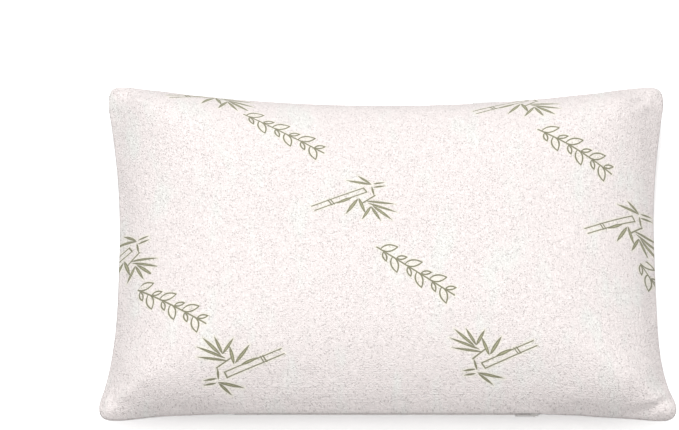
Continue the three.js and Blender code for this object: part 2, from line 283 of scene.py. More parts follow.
class NodeBench:
    """Short calls for laying nodes out in one tree."""

    def __init__(self, tree: bpy.types.NodeTree) -> None:
        """Works on the given tree."""
        self.tree = tree

    def feed(self, socket: bpy.types.NodeSocket, value: Feed) -> None:
        """Links a socket to another one, or sets its own value.

        Args:
            socket: The socket that is fed.
            value: Where it is fed from, or its value.
        """
        if isinstance(value, bpy.types.NodeSocket):
            self.tree.links.new(value, socket)
        elif isinstance(value, (tuple, list)) and len(value) == 3 and socket.type == "RGBA":
            socket.default_value = (*value, 1.0)
        else:
            socket.default_value = value

    def node(self, kind: str, **settings: object) -> bpy.types.Node:
        """A new node of a kind, with its settings.

        Args:
            kind: The node's type.
            settings: Its own settings, by name.

        Returns:
            The node.
        """
        made = self.tree.nodes.new(kind)
        for key, value in settings.items():
            setattr(made, key, value)
        return made

    def math(self, operation: str, *values: Feed, clamp: bool = False) -> bpy.types.NodeSocket:
        """A Math node on one, two or three values.

        Args:
            operation: What it does.
            values: Its values, in order.
            clamp: Whether the result is kept from 0 to 1.

        Returns:
            The result.
        """
        made = self.node("ShaderNodeMath", operation=operation, use_clamp=clamp)
        for socket, value in zip(made.inputs, values):
            self.feed(socket, value)
        return made.outputs[0]

    def vector(self, operation: str, *values: Feed) -> bpy.types.NodeSocket:
        """A Vector Math node; dot products and lengths come out as numbers.

        Args:
            operation: What it does.
            values: Its vectors, in order.

        Returns:
            The result.
        """
        made = self.node("ShaderNodeVectorMath", operation=operation)
        for socket, value in zip(made.inputs, values):
            self.feed(socket, value)
        numbers = ("DOT_PRODUCT", "LENGTH", "DISTANCE")
        return made.outputs["Value" if operation in numbers else "Vector"]

    def scaled(self, vector: Feed, factor: Feed) -> bpy.types.NodeSocket:
        """A vector times a number.

        Args:
            vector: The vector.
            factor: The number.

        Returns:
            The scaled vector.
        """
        made = self.node("ShaderNodeVectorMath", operation="SCALE")
        self.feed(made.inputs[0], vector)
        self.feed(made.inputs["Scale"], factor)
        return made.outputs["Vector"]

    def spread(
        self, value: Feed, low: Feed, high: Feed, start: Feed = 0.0, end: Feed = 1.0
    ) -> bpy.types.NodeSocket:
        """A smooth map of a value from low..high to start..end.

        Args:
            value: What is mapped.
            low: Where the map starts.
            high: Where it ends.
            start: What it gives at low.
            end: What it gives at high.

        Returns:
            The mapped value.
        """
        made = self.node("ShaderNodeMapRange", interpolation_type="SMOOTHSTEP")
        for name, given in (
            ("Value", value),
            ("From Min", low),
            ("From Max", high),
            ("To Min", start),
            ("To Max", end),
        ):
            self.feed(made.inputs[name], given)
        return made.outputs["Result"]

    def noise(
        self,
        place: Feed,
        scale: float,
        detail: float = 2.0,
        rough: float = 0.5,
        output: str = "Fac",
    ) -> bpy.types.NodeSocket:
        """Smooth noise from 0 to 1, as a number or as a Color.

        Args:
            place: Where it is read.
            scale: How fine it is.
            detail: How many finer layers it has.
            rough: How strong they are.
            output: Fac or Color.

        Returns:
            The noise.
        """
        made = self.node("ShaderNodeTexNoise")
        self.feed(made.inputs["Vector"], place)
        self.feed(made.inputs["Scale"], scale)
        self.feed(made.inputs["Detail"], detail)
        self.feed(made.inputs["Roughness"], rough)
        return made.outputs[output]

    def cells(self, place: Feed, scale: float) -> bpy.types.Node:
        """Scattered cells: the Distance to each one's point, and its own random Color.

        Args:
            place: Where they are read.
            scale: How fine they are.

        Returns:
            The node, with both outputs.
        """
        made = self.node("ShaderNodeTexVoronoi", feature="F1")
        self.feed(made.inputs["Vector"], place)
        self.feed(made.inputs["Scale"], scale)
        return made

    def times(self, first: Feed, *others: Feed) -> Feed:
        """Numbers multiplied together, from left to right.

        Args:
            first: The first number.
            others: The rest of them.

        Returns:
            The product.
        """
        for other in others:
            first = self.math("MULTIPLY", first, other)
        return first

    def plus(self, first: Feed, second: Feed) -> bpy.types.NodeSocket:
        """The sum of two numbers."""
        return self.math("ADD", first, second)

    def minus(self, first: Feed, second: Feed) -> bpy.types.NodeSocket:
        """One number less another."""
        return self.math("SUBTRACT", first, second)

    def rest(self, share: Feed) -> bpy.types.NodeSocket:
        """What a share leaves of 1."""
        return self.math("SUBTRACT", 1.0, share)

    def either(self, first: Feed, second: Feed) -> bpy.types.NodeSocket:
        """The larger of two numbers."""
        return self.math("MAXIMUM", first, second)

    def falling(self, value: Feed, low: float, high: float) -> bpy.types.NodeSocket:
        """A smooth fall from 1 at low to 0 at high."""
        return self.spread(value, low, high, 1.0, 0.0)

    def fade(self, share: Feed, first: Feed, second: Feed) -> bpy.types.NodeSocket:
        """A blend of two numbers."""
        return self.plus(self.times(first, self.rest(share)), self.times(second, share))

    def object_place(self) -> bpy.types.NodeSocket:
        """The place on the piece, in metres."""
        return self.node("ShaderNodeTexCoord").outputs["Object"]

    def mix(self, share: Feed, first: Feed, second: Feed) -> Feed:
        """A blend of two colours.

        Args:
            share: The second one's share.
            first: The colour at 0.
            second: The colour at 1.

        Returns:
            The blended colour.
        """
        made = self.node("ShaderNodeMix", data_type="RGBA")
        self.feed(made.inputs[0], share)
        self.feed(made.inputs[6], first)
        self.feed(made.inputs[7], second)
        return made.outputs[2]

    def choose(self, share: Feed, first: Feed, second: Feed) -> bpy.types.NodeSocket:
        """One of two vectors, or a blend of them.

        Args:
            share: The second one's share.
            first: The vector at 0.
            second: The vector at 1.

        Returns:
            The vector.
        """
        made = self.node("ShaderNodeMix", data_type="VECTOR")
        self.feed(made.inputs[0], share)
        self.feed(made.inputs[4], first)
        self.feed(made.inputs[5], second)
        return made.outputs[1]

    def split(self, vector: Feed) -> tuple[bpy.types.NodeSocket, bpy.types.NodeSocket]:
        """The X and Y of a vector.

        Args:
            vector: The vector.

        Returns:
            Its X and its Y.
        """
        made = self.node("ShaderNodeSeparateXYZ")
        self.feed(made.inputs[0], vector)
        return made.outputs[0], made.outputs[1]

    def join(self, x: Feed, y: Feed) -> bpy.types.NodeSocket:
        """A flat vector from two numbers.

        Args:
            x: Its X.
            y: Its Y.

        Returns:
            The vector.
        """
        made = self.node("ShaderNodeCombineXYZ")
        for socket, value in zip(made.inputs, (x, y, 0.0)):
            self.feed(socket, value)
        return made.outputs[0]

    def group(self, tree: bpy.types.NodeTree, **values: Feed) -> bpy.types.Node:
        """A shared group, placed with its own values; an underscore in a name is a space.

        Args:
            tree: The group's tree.
            values: The value of each input, by name.

        Returns:
            The group node.
        """
        made = self.node("ShaderNodeGroup", node_tree=tree)
        for name, value in values.items():
            self.feed(made.inputs[name.replace("_", " ")], value)
        return made

    def bump(self, height: Feed, distance: float) -> Feed:
        """A Bump node on a height, as a normal.

        Args:
            height: The height, from 0 to 1.
            distance: How far 1 stands up, in metres.

        Returns:
            The normal.
        """
        made = self.node("ShaderNodeBump")
        self.feed(made.inputs["Height"], height)
        made.inputs["Distance"].default_value = distance
        made.inputs["Strength"].default_value = 1.0
        return made.outputs["Normal"]

    def surface(self, shader: bpy.types.Node, colour: Feed, roughness: Feed, normal: Feed) -> None:
        """Feeds a shader its colour, roughness and normal.

        Args:
            shader: The shader.
            colour: Its base colour.
            roughness: Its roughness.
            normal: Its normal.
        """
        self.feed(shader.inputs["Base Color"], colour)
        self.feed(shader.inputs["Roughness"], roughness)
        self.feed(shader.inputs["Normal"], normal)


@dataclass
class SharedGroup:
    """A shader node group with named inputs and number outputs, built once."""

    name: str
    inputs: dict[str, object]
    outputs: tuple[str, ...]
    lay_out: Callable[[NodeBench, dict[str, bpy.types.NodeSocket]], dict[str, Feed]]

    def tree(self) -> bpy.types.NodeTree:
        """The group's tree, made on first use.

        Returns:
            The tree, ready for a group node.
        """
        known = bpy.data.node_groups.get(self.name)
        if known:
            return known
        tree = bpy.data.node_groups.new(self.name, "ShaderNodeTree")
        for name, value in self.inputs.items():
            kind = "NodeSocketVector" if isinstance(value, tuple) else "NodeSocketFloat"
            socket = tree.interface.new_socket(name, in_out="INPUT", socket_type=kind)
            socket.default_value = value
        for name in self.outputs:
            tree.interface.new_socket(name, in_out="OUTPUT", socket_type="NodeSocketFloat")
        bench = NodeBench(tree)
        entry = bench.node("NodeGroupInput")
        leave = bench.node("NodeGroupOutput")
        made = self.lay_out(bench, {s.name: s for s in entry.outputs if s.name})
        for name, value in made.items():
            bench.feed(leave.inputs[name], value)
        return tree


CENTRE = (0.0, 0.0, 0.0)


@dataclass(frozen=True)
class KnitPattern:
    """Looped knit, in loop lengths: tight small loops, pinholes between them, faint wales."""

    sway_scale: float = 0.8
    sway: float = 0.55
    yarn_scale: float = 1.15
    yarn_width: float = 0.15
    hole_scale: float = 1.3
    hole_edge: tuple[float, float] = (0.14, 0.46)
    dark_holes: tuple[float, float] = (0.15, 0.85)
    highlight_cells: tuple[float, float] = (0.40, 0.75)
    highlight_limit: tuple[float, float] = (0.25, 0.55)
    wale_turns: float = 3.0
    yarn_height: float = 0.42
    lit_loop_height: float = 0.5
    hole_depth: float = 0.55
    wale_height: float = 0.05
    furrow_shade: float = 0.22
    patch_stretch: tuple[float, float, float] = (1.0, 0.45, 1.0)
    patch_scale: float = 20.0
    patch_edge: tuple[float, float] = (0.50, 0.68)

    def lay_out(self, bench: NodeBench, given: dict) -> dict[str, Feed]:
        """Draws the knit.

        Args:
            bench: The group's bench.
            given: Place in metres and the Loop length.

        Returns:
            The height of the yarn, the painted shade in its gaps, the painted highlights on its raised
            loops, and patches of tint.
        """
        place = given["Place"]
        cloth = bench.scaled(place, bench.math("DIVIDE", 1.0, given["Loop"]))
        sway = bench.noise(cloth, self.sway_scale, 1.0, output="Color")
        shift = bench.scaled(bench.vector("SUBTRACT", sway, (0.5,) * 3), self.sway)
        bent = bench.vector("ADD", cloth, shift)
        worm = bench.math("ABSOLUTE", bench.minus(bench.noise(bent, self.yarn_scale, 0.5), 0.5))
        yarn = bench.falling(worm, 0.0, self.yarn_width)
        holes = bench.cells(bent, self.hole_scale)
        depth, lift = bench.split(holes.outputs["Color"])
        pinhole = bench.falling(holes.outputs["Distance"], *self.hole_edge)
        dark = bench.times(pinhole, bench.spread(depth, *self.dark_holes))
        # painted highlight: pale spots on some raised loops, where light would catch them
        bright = bench.times(pinhole, bench.spread(lift, *self.highlight_cells))
        bright = bench.times(bright, bench.falling(depth, *self.highlight_limit))
        x, _y = bench.split(cloth)
        wale = bench.math("SINE", bench.times(x, self.wale_turns))
        height = bench.plus(bench.times(yarn, self.yarn_height), bench.times(bright, self.lit_loop_height))
        height = bench.minus(height, bench.times(dark, self.hole_depth))
        height = bench.plus(height, bench.times(wale, self.wale_height))
        gap = bench.either(dark, bench.times(bench.rest(yarn), self.furrow_shade))
        upright = bench.vector("MULTIPLY", place, self.patch_stretch)
        patch = bench.spread(bench.noise(upright, self.patch_scale, 3.0, 0.6), *self.patch_edge)
        return {"Height": height, "Gap": gap, "Bright": bright, "Patch": patch}


KNIT = SharedGroup(
    "LoopedKnit",
    {"Place": CENTRE, "Loop": 0.0034},
    ("Height", "Gap", "Bright", "Patch"),
    KnitPattern().lay_out,
)


@dataclass(frozen=True)
class WeavePattern:
    """Plain weave of two sets of threads."""

    crossing: float = 0.4
    hole: float = 0.5

    def lay_out(self, bench: NodeBench, given: dict) -> dict[str, Feed]:
        """Draws the weave.

        Args:
            bench: The group's bench.
            given: Place in metres and the thread Pitch.

        Returns:
            The height of the threads and a shade for the holes between them.
        """
        cloth = bench.scaled(given["Place"], bench.math("DIVIDE", math.pi, given["Pitch"]))
        warp, weft = (bench.math("SINE", way) for way in bench.split(cloth))
        turn = bench.spread(bench.times(warp, weft), -self.crossing, self.crossing)
        over = bench.times(bench.math("ABSOLUTE", warp), turn)
        under = bench.times(bench.math("ABSOLUTE", weft), bench.rest(turn))
        height = bench.either(over, under)
        return {"Height": height, "Gap": bench.falling(height, 0.0, self.hole)}


WEAVE = SharedGroup(
    "PlainWeave", {"Place": CENTRE, "Pitch": 0.0008}, ("Height", "Gap"), WeavePattern().lay_out
)


@dataclass(frozen=True)
class LeafPattern:
    """A slim pointed leaf between two points, or a plain stroke where its Taper is 0."""

    swell: float = 0.8
    belly: float = 3.6

    def lay_out(self, bench: NodeBench, given: dict) -> dict[str, Feed]:
        """Draws the leaf.

        Args:
            bench: The group's bench.
            given: Place, Base, Tip, Width and Taper.

        Returns:
            How deep the place lies inside the leaf, in metres, below 0 outside.
        """
        axis = bench.vector("SUBTRACT", given["Tip"], given["Base"])
        away = bench.vector("SUBTRACT", given["Place"], given["Base"])
        length = bench.vector("LENGTH", axis)
        reach = bench.vector("DOT_PRODUCT", away, axis)
        along = bench.math("DIVIDE", reach, bench.times(length, length), clamp=True)
        off = bench.vector("DISTANCE", away, bench.scaled(axis, along))
        swell = bench.math("POWER", along, self.swell)
        belly = bench.times(swell, bench.rest(along), self.belly)
        profile = bench.plus(bench.times(belly, given["Taper"]), bench.rest(given["Taper"]))
        half = bench.times(given["Width"], 0.5, profile)
        return {"Depth": bench.minus(half, off)}


LEAF = SharedGroup(
    "PrintedLeaf",
    {"Place": CENTRE, "Base": CENTRE, "Tip": (0.01, 0.0, 0.0), "Width": 0.003, "Taper": 1.0},
    ("Depth",),
    LeafPattern().lay_out,
)


@dataclass(frozen=True)
class Stroke:
    """One leaf or line of a printed motif, in millimetres from the motif's middle."""

    base: tuple[float, float]
    tip: tuple[float, float]
    width: float
    taper: float = 1.0


def deepest(bench: NodeBench, place: Feed, strokes: Iterable[Stroke]) -> Feed:
    """The depth inside the nearest of several strokes.

    Args:
        bench: The group's bench.
        place: The place from the motif's middle.
        strokes: The strokes.

    Returns:
        The depth, in metres, below 0 outside them all.
    """
    depth = None
    for stroke in strokes:
        made = bench.group(
            LEAF.tree(),
            Place=place,
            Base=(stroke.base[0] * MM, stroke.base[1] * MM, 0.0),
            Tip=(stroke.tip[0] * MM, stroke.tip[1] * MM, 0.0),
            Width=stroke.width * MM,
            Taper=stroke.taper,
        ).outputs["Depth"]
        depth = made if depth is None else bench.either(depth, made)
    return depth


@dataclass(frozen=True)
class MotifPattern:
    """The print's two motifs: a cane sprig, and a slanting row of leaves in outline."""

    sprig_leaves: tuple[Stroke, ...] = (
        Stroke((25, 21), (-6, 27), 2.9),
        Stroke((24, 22), (8, 34), 2.7),
        Stroke((27, 22), (41, 24), 1.9),
        Stroke((27, 17), (42, 19), 2.1),
        Stroke((25, 18), (28, 5), 2.3),
        Stroke((17, -3), (54, -8), 2.7),
        Stroke((20, -6), (56, -20), 2.9),
        Stroke((26, -10), (50, -31), 3.4),
        Stroke((24, -11), (36, -32), 3.2),
        Stroke((24, -11), (13, -30), 3.5),
        Stroke((9, 1), (17, -21), 3.7),
        Stroke((8, 0), (-7, -22), 4.0),
        Stroke((1, 2), (-19, -7), 3.7),
    )
    sprig_lines: tuple[Stroke, ...] = (
        Stroke((-49, -11), (15, 16), 1.2, 0.0),
        Stroke((-45, -17), (19, 10), 1.2, 0.0),
        Stroke((-29, -2), (-24, -9), 1.4, 0.0),
        Stroke((-26, -1), (-21, -8), 1.2, 0.0),
        Stroke((15, 16), (19, 10), 1.5, 0.0),
        Stroke((29, 5), (14, -6), 1.5, 0.0),
    )
    row_leaves: tuple[Stroke, ...] = (
        Stroke((-8, 0), (9, 15), 10.0),
        Stroke((-3, -1), (8, -10), 6.0),
    )
    row_stem: tuple[Stroke, ...] = (Stroke((-58, 0), (56, 0), 1.6, 0.0),)
    row_spacing: float = 18.0
    row_pairs: int = 6
    scale: float = 1.1
    ink_edge: tuple[float, float] = (-0.0004, 0.0005)
    pale_edge: tuple[float, float] = (0.0008, 0.0015)
    halo_edge: tuple[float, float] = (-0.0038, -0.0006)
    hollow_edge: tuple[float, float] = (0.0016, 0.0020)

    def row_place(self, bench: NodeBench, place: Feed) -> Feed:
        """Folds a place into the nearest pair of row leaves, every other pair turned over.

        Args:
            bench: The group's bench.
            place: The place from the motif's middle.

        Returns:
            The place from that pair's own middle.
        """
        x, y = bench.split(place)
        step = self.row_spacing * MM
        limit = (self.row_pairs - 1) / 2
        nearest = bench.math("ROUND", bench.plus(bench.math("DIVIDE", x, step), 0.5))
        cell = bench.math("MINIMUM", bench.either(bench.minus(nearest, 0.5), -limit), limit)
        inside = bench.minus(x, bench.times(cell, step))
        parity = bench.math("MODULO", bench.plus(cell, limit), 2.0)
        flip = bench.rest(bench.times(bench.math("ROUND", parity), 2.0))
        return bench.join(inside, bench.times(y, flip))

    def lay_out(self, bench: NodeBench, given: dict) -> dict[str, Feed]:
        """Draws the sprig, or the row of leaves where Row is 1.

        Args:
            bench: The group's bench.
            given: Place from the motif's middle, Row and the Fray that roughens the edge.

        Returns:
            The ink, the paler middle of the sprig's leaves, and the pale halo round the ink.
        """
        place = bench.scaled(given["Place"], 1 / self.scale)
        row = given["Row"]
        leaves = deepest(bench, place, self.sprig_leaves)
        sprig = bench.either(leaves, deepest(bench, place, self.sprig_lines))
        row_leaf = deepest(bench, self.row_place(bench, place), self.row_leaves)
        row_depth = bench.either(row_leaf, deepest(bench, place, self.row_stem))
        depth = bench.fade(row, sprig, row_depth)
        ink = bench.spread(bench.plus(depth, given["Fray"]), *self.ink_edge)
        hollow = bench.times(bench.spread(row_leaf, *self.hollow_edge), row)
        pale = bench.spread(bench.fade(row, leaves, row_leaf), *self.pale_edge)
        return {
            "Ink": bench.times(ink, bench.rest(hollow)),
            "Pale": bench.times(pale, bench.rest(row)),
            "Halo": bench.spread(depth, *self.halo_edge),
        }


PRINT_MASKS = ("Ink", "Pale", "Halo")
MOTIF = SharedGroup(
    "LeafMotif", {"Place": CENTRE, "Row": 0.0, "Fray": 0.0}, PRINT_MASKS, MotifPattern().lay_out
)


@dataclass(frozen=True)
class PrintPlace:
    """Where one motif is printed on the flat cut: millimetres from its middle, and its turn."""

    x: float
    y: float
    turn: float
    row: bool = False


@dataclass(frozen=True)
class PrintPattern:
    """The print as laid out on the cut cloth: sprigs and leaf rows by turns."""

    places: tuple[PrintPlace, ...] = (
        PrintPlace(-236, 235, 0),
        PrintPlace(-137, 159, -33, True),
        PrintPlace(-49, 50, 0),
        PrintPlace(38, -61, -34, True),
        PrintPlace(143, -177, 180),
        PrintPlace(-374, -20, 0),
        PrintPlace(-294, -100, -33, True),
        PrintPlace(-190, -188, 180),
        PrintPlace(168, 222, 0),
        PrintPlace(255, 126, -33, True),
        PrintPlace(323, 20, 0),
        PrintPlace(386, -68, -48, True),
    )
    even_gap: float = 0.45
    fray: float = 0.0006

    def lay_out(self, bench: NodeBench, given: dict) -> dict[str, Feed]:
        """Finds the nearest motif and draws it.

        Args:
            bench: The group's bench.
            given: Place on the flat cut, in metres, and the Gap shade of the knit.

        Returns:
            The masks of the nearest motif.
        """
        nearest, best, row = None, None, None
        for spot in self.places:
            away = bench.vector("SUBTRACT", given["Place"], (spot.x * MM, spot.y * MM, 0.0))
            turned = bench.node("ShaderNodeVectorRotate", rotation_type="Z_AXIS")
            bench.feed(turned.inputs["Vector"], away)
            turned.inputs["Angle"].default_value = -math.radians(spot.turn)
            far = bench.vector("LENGTH", away)
            if nearest is None:
                nearest, best, row = turned.outputs[0], far, float(spot.row)
                continue
            closer = bench.math("LESS_THAN", far, best)
            nearest = bench.choose(closer, nearest, turned.outputs[0])
            row = bench.plus(row, bench.times(bench.minus(float(spot.row), row), closer))
            best = bench.math("MINIMUM", best, far)
        fray = bench.times(bench.minus(self.even_gap, given["Gap"]), self.fray)
        motif = bench.group(MOTIF.tree(), Place=nearest, Row=row, Fray=fray)
        return {name: motif.outputs[name] for name in PRINT_MASKS}


PRINT = SharedGroup(
    "ClothPrint", {"Place": CENTRE, "Gap": 0.0}, PRINT_MASKS, PrintPattern().lay_out
)


@dataclass(frozen=True)
class RubPattern:
    """Fine handling marks on a hard finish."""

    grain_scale: float = 4.0
    smudge_scale: float = 0.7
    smudge_edge: tuple[float, float] = (0.35, 0.7)

    def lay_out(self, bench: NodeBench, given: dict) -> dict[str, Feed]:
        """Draws the marks.

        Args:
            bench: The group's bench.
            given: Place in metres and the Size of a mark.

        Returns:
            A fine grain and a broad smudge, both from 0 to 1.
        """
        spot = bench.scaled(given["Place"], bench.math("DIVIDE", 1.0, given["Size"]))
        smudge = bench.spread(bench.noise(spot, self.smudge_scale), *self.smudge_edge)
        return {"Grain": bench.noise(spot, self.grain_scale, 3.0, 0.6), "Smudge": smudge}


RUB = SharedGroup(
    "HandlingMarks", {"Place": CENTRE, "Size": 0.002}, ("Grain", "Smudge"), RubPattern().lay_out
)


# ---------------------------------------------------------------------------------------------
# Finishes
# ---------------------------------------------------------------------------------------------


class Finish:
    """A material that a piece is dressed in."""

    name: str

    def material(self) -> bpy.types.Material:
        """The finish's material, made on first use.

        Returns:
            The material.
        """
        known = bpy.data.materials.get(self.name)
        if known:
            return known
        made = bpy.data.materials.new(self.name)
        made.use_nodes = True
        self.paint(NodeBench(made.node_tree), made.node_tree.nodes["Principled BSDF"])
        return made

    def paint(self, bench: NodeBench, shader: bpy.types.Node) -> None:
        """Lays the finish's nodes out round its shader."""
        raise NotImplementedError

    def dress(self, piece: bpy.types.Object) -> None:
        """Makes this the piece's only material."""
        piece.data.materials.clear()
        piece.data.materials.append(self.material())


def darker(colour: Colour, share: float) -> Colour:
    """A colour at a share of its brightness."""
    return tuple(share * part for part in colour)


def cloth_sheen(shader: bpy.types.Node, amount: float, roughness: float) -> None:
    """Sets the soft edge glow of cloth on a shader.

    Args:
        shader: The shader.
        amount: How strong the glow is.
        roughness: How wide it is.
    """
    shader.inputs["Sheen Weight"].default_value = amount
    shader.inputs["Sheen Roughness"].default_value = roughness
    shader.inputs["Specular IOR Level"].default_value = 0.25


@dataclass(frozen=True)
class PrintedKnit(Finish):
    """Looped off-white knit with the leaf print; its places come from the flat cut's own map."""

    name: str = "PrintedKnit"
    cut: tuple[float, float] = (0.742, 0.484)
    cream: Colour = (0.865, 0.855, 0.825)
    blush: Colour = (0.890, 0.822, 0.808)
    # painted shade in the knit's pinholes and furrows
    gap_shade: Colour = (0.50, 0.44, 0.43)
    bright: Colour = (0.96, 0.95, 0.94)
    # painted highlight on the raised loops
    ink: Colour = (0.185, 0.180, 0.100)
    pale_ink: Colour = (0.37, 0.37, 0.22)
    halo: Colour = (0.90, 0.865, 0.74)
    loop: float = 0.0030
    relief: float = 0.0011
    halo_share: float = 0.55
    highlight_share: float = 0.6
    gap_share: float = 0.57
    ink_share: float = 0.92

    def paint(self, bench: NodeBench, shader: bpy.types.Node) -> None:
        """Tints the knit, paints shade into its gaps and highlights onto its raised loops, prints it and
        raises its loops.
        """
        uv = bench.node("ShaderNodeUVMap", uv_map=CUT_MAP).outputs[0]
        middle = bench.vector("SUBTRACT", uv, (0.5, 0.5, 0.0))
        place = bench.vector("MULTIPLY", middle, (*self.cut, 0.0))
        knit = bench.group(KNIT.tree(), Place=place, Loop=self.loop).outputs
        art = bench.group(PRINT.tree(), Place=place, Gap=knit["Gap"]).outputs
        colour = bench.mix(knit["Patch"], self.blush, self.cream)
        # the painted highlight on raised loops and the painted shade in the gaps are mixed into the
        # colour, along with the print's halo and ink
        for mask, share, tint in (
            (art["Halo"], self.halo_share, self.halo),
            (knit["Bright"], self.highlight_share, self.bright),
            (knit["Gap"], self.gap_share, self.gap_shade),
            (art["Ink"], self.ink_share, bench.mix(art["Pale"], self.ink, self.pale_ink)),
        ):
            colour = bench.mix(bench.times(mask, share), colour, tint)
        roughness = bench.spread(knit["Gap"], 0, 1, 0.82, 0.95)
        bench.surface(shader, colour, roughness, bench.bump(knit["Height"], self.relief))
        cloth_sheen(shader, 0.15, 0.5)


@dataclass(frozen=True)
class WovenCloth(Finish):
    """Plain woven cloth, such as the inner bag's."""

    name: str
    colour: Colour
    thread: Colour
    pitch: float
    relief: float = 0.0002
    slub_scale: float = 160.0
    gap_share: float = 0.3
    gap_tone: float = 0.6

    def paint(self, bench: NodeBench, shader: bpy.types.Node) -> None:
        """Colours the threads and raises them over the gaps."""
        place = bench.object_place()
        weave = bench.group(WEAVE.tree(), Place=place, Pitch=self.pitch).outputs
        slub = bench.spread(bench.noise(place, self.slub_scale), 0.35, 0.65)
        colour = bench.mix(slub, self.colour, self.thread)
        shade = darker(self.colour, self.gap_tone)
        colour = bench.mix(bench.times(weave["Gap"], self.gap_share), colour, shade)
        roughness = bench.spread(slub, 0, 1, 0.8, 0.92)
        bench.surface(shader, colour, roughness, bench.bump(weave["Height"], self.relief))
        cloth_sheen(shader, 0.1, 0.4)


@dataclass(frozen=True)
class SewingThread(Finish):
    """Twisted polyester thread."""

    name: str = "SewingThread"
    colour: Colour = (0.80, 0.77, 0.74)
    twist: float = 0.0007
    slant: float = 0.8
    tone_scale: float = 300.0
    dark: float = 0.82
    relief: float = 0.0001

    def paint(self, bench: NodeBench, shader: bpy.types.Node) -> None:
        """Twists fine plies round the thread."""
        place = bench.object_place()
        x, y = bench.split(bench.scaled(place, 2 * math.pi / self.twist))
        ply = bench.math("SINE", bench.plus(x, bench.times(y, self.slant)))
        tone = bench.noise(place, self.tone_scale)
        colour = bench.mix(bench.spread(tone, 0.3, 0.7), darker(self.colour, self.dark), self.colour)
        roughness = bench.spread(tone, 0, 1, 0.45, 0.65)
        bench.surface(shader, colour, roughness, bench.bump(ply, self.relief))
        cloth_sheen(shader, 0.1, 0.3)


@dataclass(frozen=True)
class ShreddedFoam(Finish):
    """Open-cell foam torn into small chunks."""

    name: str = "ShreddedFoam"
    colour: Colour = (0.78, 0.64, 0.34)
    fresh: Colour = (0.86, 0.78, 0.56)
    chunk_scale: float = 70.0
    cell_scale: float = 900.0
    pit_shade_share: float = 0.3
    pit_shade_tone: float = 0.5
    relief: float = 0.0006

    def paint(self, bench: NodeBench, shader: bpy.types.Node) -> None:
        """Gives each chunk its tint, pits it with open cells and paints shade into the pits."""
        place = bench.object_place()
        tint, _other = bench.split(bench.cells(place, self.chunk_scale).outputs["Color"])
        wall = bench.cells(place, self.cell_scale).outputs["Distance"]
        # painted shade: a darker colour inside the open cells' pits
        deep = bench.times(bench.falling(wall, 0.0, 0.3), self.pit_shade_share)
        colour = bench.mix(tint, self.colour, self.fresh)
        colour = bench.mix(deep, colour, darker(self.colour, self.pit_shade_tone))
        roughness = bench.spread(tint, 0, 1, 0.85, 0.97)
        bench.surface(shader, colour, roughness, bench.bump(bench.spread(wall, 0.1, 0.6), self.relief))


@dataclass(frozen=True)
class NylonCoil(Finish):
    """Slightly milky nylon monofilament."""

    name: str = "NylonCoil"
    colour: Colour = (0.84, 0.82, 0.79)
    cloud: float = 0.88
    mark: float = 0.003
    depth: float = 0.001

    def paint(self, bench: NodeBench, shader: bpy.types.Node) -> None:
        """Clouds the nylon and marks it lightly."""
        rub = bench.group(RUB.tree(), Place=bench.object_place(), Size=self.mark).outputs
        colour = bench.mix(rub["Smudge"], self.colour, darker(self.colour, self.cloud))
        bench.feed(shader.inputs["Base Color"], colour)
        bench.feed(shader.inputs["Roughness"], bench.spread(rub["Grain"], 0.3, 0.7, 0.25, 0.4))
        shader.inputs["Subsurface Weight"].default_value = 0.2
        shader.inputs["Subsurface Radius"].default_value = (self.depth,) * 3


@dataclass(frozen=True)
class HardMetal(Finish):
    """Enamelled or bare metal with rubbed edges."""

    name: str
    colour: Colour
    bare: Colour
    metallic: float
    roughness: tuple[float, float]
    worn: float
    mark: float = 0.0025
    relief: float = 0.00003

    def paint(self, bench: NodeBench, shader: bpy.types.Node) -> None:
        """Wears the finish where hands touch it."""
        rub = bench.group(RUB.tree(), Place=bench.object_place(), Size=self.mark).outputs
        edge = bench.node("ShaderNodeNewGeometry").outputs["Pointiness"]
        broken = bench.times(bench.spread(edge, 0.52, 0.58), bench.spread(rub["Grain"], 0.4, 0.6))
        worn = bench.times(broken, self.worn)
        metal = bench.plus(self.metallic, bench.times(worn, 1.0 - self.metallic))
        bench.feed(shader.inputs["Metallic"], metal)
        colour = bench.mix(worn, self.colour, self.bare)
        roughness = bench.spread(rub["Smudge"], 0, 1, *self.roughness)
        bench.surface(shader, colour, roughness, bench.bump(rub["Grain"], self.relief))


COVER_KNIT = PrintedKnit()
LINER_CLOTH = WovenCloth("LinerCloth", (0.80, 0.80, 0.79), (0.86, 0.86, 0.85), 0.0009)
LABEL_SATIN = WovenCloth("LabelSatin", (0.86, 0.86, 0.85), (0.90, 0.90, 0.89), 0.0004, 0.00008)
ZIP_TAPE_CLOTH = WovenCloth("ZipTapeCloth", (0.80, 0.765, 0.745), (0.84, 0.81, 0.79), 0.0007)
THREAD = SewingThread()
FOAM = ShreddedFoam()
NYLON = NylonCoil()
ENAMEL = HardMetal(
    "SliderEnamel", (0.80, 0.775, 0.75), (0.62, 0.61, 0.6), 0.0, (0.28, 0.42), 0.8
)
ALUMINIUM = HardMetal(
    "StopAluminium", (0.74, 0.74, 0.74), (0.85, 0.85, 0.85), 1.0, (0.25, 0.45), 1.0
)


def hand_over(
    piece: bpy.types.Object, finish: Finish, node: str | None = None
) -> None:
    """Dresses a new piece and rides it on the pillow.

    Args:
        piece: The finished piece.
        finish: Its finish.
        node: The CAD node that it stands for, if any.
    """
    finish.dress(piece)
    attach(piece, "pillow")
    if node:
        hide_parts(node)
    points = points_of(piece.data)
    size = (points.max(0) - points.min(0)) / MM
    LOG.info("%s: %d faces, %.0f x %.0f x %.0f mm", piece.name, len(piece.data.polygons), *size)


# ---------------------------------------------------------------------------------------------
# The pillow's form
# ---------------------------------------------------------------------------------------------


